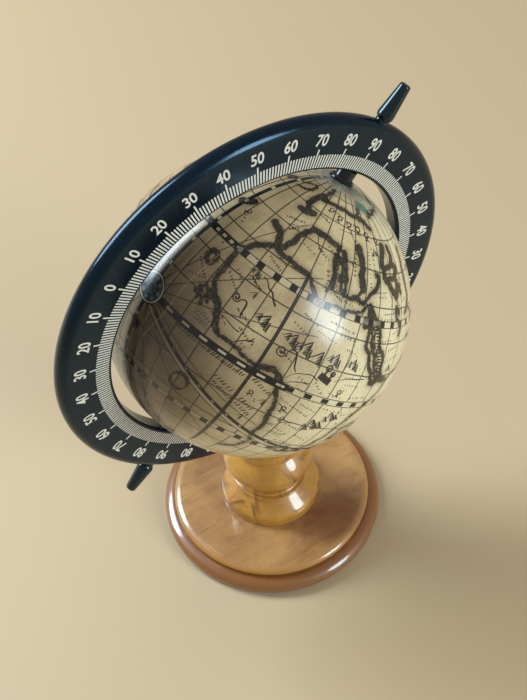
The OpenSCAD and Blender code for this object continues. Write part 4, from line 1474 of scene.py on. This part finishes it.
class GLOBE_OT_map(bpy.types.Operator):
    """Covers the ball with its printed map, one skin for each half"""
    bl_idname = "globe.map"
    bl_label = "Map"

    def execute(self, context):
        sizes, colours = context.scene.globe_ball, context.scene.globe_colours
        paper = map_paper(colours, sizes)
        shores = Trail(shore_lines())
        isles = Trail([(width, pairs(text)) for width, text in PALE_ISLES])
        cuts = ((11, 16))
        north = half_skin("north_map_print", sizes, cuts)
        on_its_own(north)
        bpy.ops.object.duplicate()
        south = bpy.context.object
        south.name = "south_map_print"
        # A half turn about a level axis brings the copy under the equator
        settle(south, Matrix.Rotation(math.pi, 4, "X"))
        for piece, node in ((north, "north_map"), (south, "south_map")):
            mesh = piece.data
            places = [vertex.co * (EARTH / vertex.co.length) for vertex in mesh.vertices]
            for name, trail in (("shore", shores), ("isle", isles)):
                layer = mesh.attributes.new(name, "FLOAT", "POINT")
                layer.data.foreach_set("value", [trail.outside(place) for place in places])
            settle(piece, NORTH)
            hand_over(piece, "ball", "map_paper", paper, node)
        return {"FINISHED"}


class GLOBE_OT_signs(bpy.types.Operator):
    """Prints the hills, trees, rivers and other signs of the map in raised ink"""
    bl_idname = "globe.signs"
    bl_label = "Signs"

    def execute(self, context):
        sizes, colours = context.scene.globe_ball, context.scene.globe_colours
        rng = random.Random(CHART_SEED + 1)
        strokes = []
        for sign, rows in SIGN_ROWS:
            for x, y, end_x, end_y, count, size in groups_of(6, rows):
                strokes += row(sign, (x, y), (end_x, end_y), int(count), size, rng)
        for sign, places in BIG_SIGNS:
            for x, y, size, turn in groups_of(4, places):
                strokes += placed(sign(size, rng), (x, y), turn)
        for width, text in RIVERS:
            strokes += river(pairs(text), width, rng)
        ink = printed_ink("map_ink", colours.ink, tinted(colours.paper_dark, 0.4))
        # Pale ink for a thin line along the edge of the dark western ocean
        worn = printed_ink("pale_streak", tinted(colours.paper, 0.6), tinted(colours.paper, 0.35))
        shores = shore_lines()
        strokes += fringe(shores[:len(NEAR_SHORES)], 0.9, rng)
        distant = sown(rng, 260) + fringe(shores[len(NEAR_SHORES):], 2.5, rng)
        pale_streak = [[(x, y, 0.15) for x, y in rounded(pairs(PALE_STREAK))]]
        for name, lines, material in (("signs_near", strokes, ink), ("signs_far", distant, ink),
                                      ("pale_streak", pale_streak, worn)):
            piece = inked(name, lines, sizes.radius, sizes.ink_rise)
            hand_over(piece, "ball", "map_paper", material)
        return {"FINISHED"}


class GLOBE_OT_fittings(bpy.types.Operator):
    """Gives the rod, screw, washers, bushes, card and felt their finishes"""
    bl_idname = "globe.fittings"
    bl_label = "Fittings"

    def execute(self, context):
        colours = context.scene.globe_colours
        plastic = moulded_plastic("bush_plastic", colours.finial_black, roughness=0.2, scuff=0.1)
        finishes = {
            felt_cloth("felt", colours.felt): ("base_felt", "slot_lining"),
            bright_steel("screw_steel", colours.steel, "Z"): ("column_screw", "screw_washer"),
            bright_steel("rod_steel", colours.steel, "X"): ("axis_rod",),
            plastic: ("north_collar", "south_collar", "north_bush", "south_bush"),
            pressed_board("card", colours.card, grain=220): (
                "north_shell", "south_shell", "equator_band"),
            pressed_board("fibre", colours.fibre, grain=900): ("north_washer", "south_washer"),
        }
        for material, names in finishes.items():
            for name in names:
                node = frame["nodes"][name]
                node.data.materials.clear()
                node.data.materials.append(material)
        return {"FINISHED"}


# Stage

# The camera, and the room's light with the paler background that it shows
CAMERA_PLACE = (-0.15292, -0.27676, 0.54148)
CAMERA_TURN = (37.377, 2.691, -32.716)
LENS = 60.06
ROOM_LEVEL, SEEN_LEVEL = 0.21, 0.40
ROOM_TINT = (1.0, 0.93, 0.84, 1)


def soft_lamp(name, bearing, rise, distance, width, height, power, tint, along=(0, 0, 1)):
    """A soft lamp that looks at the ball from a bearing and a rise in degrees.

    Its height runs along an axis as nearly as it can."""
    bearing, rise = math.radians(bearing), math.radians(rise)
    towards = Vector((math.cos(bearing) * math.cos(rise), math.sin(bearing) * math.cos(rise),
                      math.sin(rise)))
    data = bpy.data.lights.new(name, "AREA")
    data.shape = "ELLIPSE"
    data.size, data.size_y = width, height
    data.energy = power
    data.color = tint
    lamp = bpy.data.objects.new(name, data)
    bpy.context.scene.collection.objects.link(lamp)
    lamp.location = CENTRE + towards * distance
    side = Vector(along).cross(towards).normalized()
    lamp.rotation_euler = Matrix((side, towards.cross(side), towards)).transposed().to_euler()
    return lamp


class GLOBE_OT_stage(bpy.types.Operator):
    """Sets up the floor, the soft lamps, the world and the camera"""
    bl_idname = "globe.stage"
    bl_label = "Stage"

    def execute(self, context):
        scene, colours = context.scene, context.scene.globe_colours
        bpy.ops.object.select_all(action="DESELECT")
        bpy.ops.mesh.primitive_plane_add(size=2.6)
        floor = bpy.context.object
        floor.name = "floor"
        recipe = Recipe("floor_paint")
        tone = recipe.noise(recipe.place(), 3, 2)
        recipe.finish(Base_Color=recipe.mix(tone, tinted(colours.floor, 0.97), colours.floor),
                      Roughness=0.55)
        floor.data.materials.append(recipe.material)

        soft_lamp("window_right", bearing=-66, rise=20, distance=1.3, width=0.44, height=0.86,
                  power=13.5, tint=(0.80, 0.94, 1.0))
        soft_lamp("window_left", bearing=125, rise=33, distance=1.5, width=0.62, height=1.25,
                  power=36.0, tint=(0.76, 0.90, 1.0), along=(0.73, -0.09, 0.68))
        ceiling = soft_lamp("ceiling", bearing=60, rise=78, distance=1.9, width=1.2, height=1.2,
                            power=6.0, tint=(1.0, 0.92, 0.80))
        # The ceiling's light is too wide to show as a spot in the varnish
        ceiling.visible_glossy = False

        world = bpy.data.worlds.new("room")
        scene.world = world
        world.use_nodes = True
        nodes, links = world.node_tree.nodes, world.node_tree.links
        background = nodes["Background"]
        seen = nodes.new("ShaderNodeLightPath")
        level = nodes.new("ShaderNodeMapRange")
        level.inputs["To Min"].default_value = ROOM_LEVEL
        level.inputs["To Max"].default_value = SEEN_LEVEL
        shown = nodes.new("ShaderNodeMath")
        shown.operation = "MAXIMUM"
        links.new(seen.outputs["Is Camera Ray"], shown.inputs[0])
        links.new(seen.outputs["Is Glossy Ray"], shown.inputs[1])
        links.new(shown.outputs[0], level.inputs["Value"])
        links.new(level.outputs[0], background.inputs["Strength"])
        background.inputs["Color"].default_value = ROOM_TINT

        data = bpy.data.cameras.new("camera")
        data.lens = LENS
        data.clip_start = 0.01
        camera = bpy.data.objects.new("camera", data)
        scene.collection.objects.link(camera)
        camera.location = CAMERA_PLACE
        camera.rotation_euler = [math.radians(turn) for turn in CAMERA_TURN]
        scene.camera = camera
        scene.view_settings.view_transform = "Standard"
        return {"FINISHED"}


PIECES = (GLOBE_OT_stage, GLOBE_OT_foot, GLOBE_OT_column, GLOBE_OT_ring, GLOBE_OT_scale,
          GLOBE_OT_finials, GLOBE_OT_map, GLOBE_OT_signs, GLOBE_OT_fittings)
GROUPS = {"globe_stand": StandSizes, "globe_ring": RingSizes, "globe_ball": BallSizes,
          "globe_colours": GlobeColours}


class GLOBE_PT_panel(bpy.types.Panel):
    """Lists the pieces of the globe in the sidebar"""
    bl_idname = "GLOBE_PT_panel"
    bl_label = "Table globe"
    bl_space_type = "VIEW_3D"
    bl_region_type = "UI"
    bl_category = "Globe"

    def draw(self, context):
        for piece in PIECES:
            self.layout.operator(piece.bl_idname)
        for name in GROUPS:
            settings = getattr(context.scene, name)
            for field in settings.__annotations__:
                self.layout.prop(settings, field)


def register():
    for name, group in GROUPS.items():
        bpy.utils.register_class(group)
        setattr(bpy.types.Scene, name, bpy.props.PointerProperty(type=group))
    for piece in PIECES + (GLOBE_PT_panel,):
        bpy.utils.register_class(piece)


def unregister():
    for piece in (GLOBE_PT_panel,) + PIECES[::-1]:
        bpy.utils.unregister_class(piece)
    for name, group in GROUPS.items():
        delattr(bpy.types.Scene, name)
        bpy.utils.unregister_class(group)


def main():
    register()
    for piece in PIECES:
        group, name = piece.bl_idname.split(".")
        getattr(getattr(bpy.ops, group), name)()


if __name__ == "__main__":
    main()
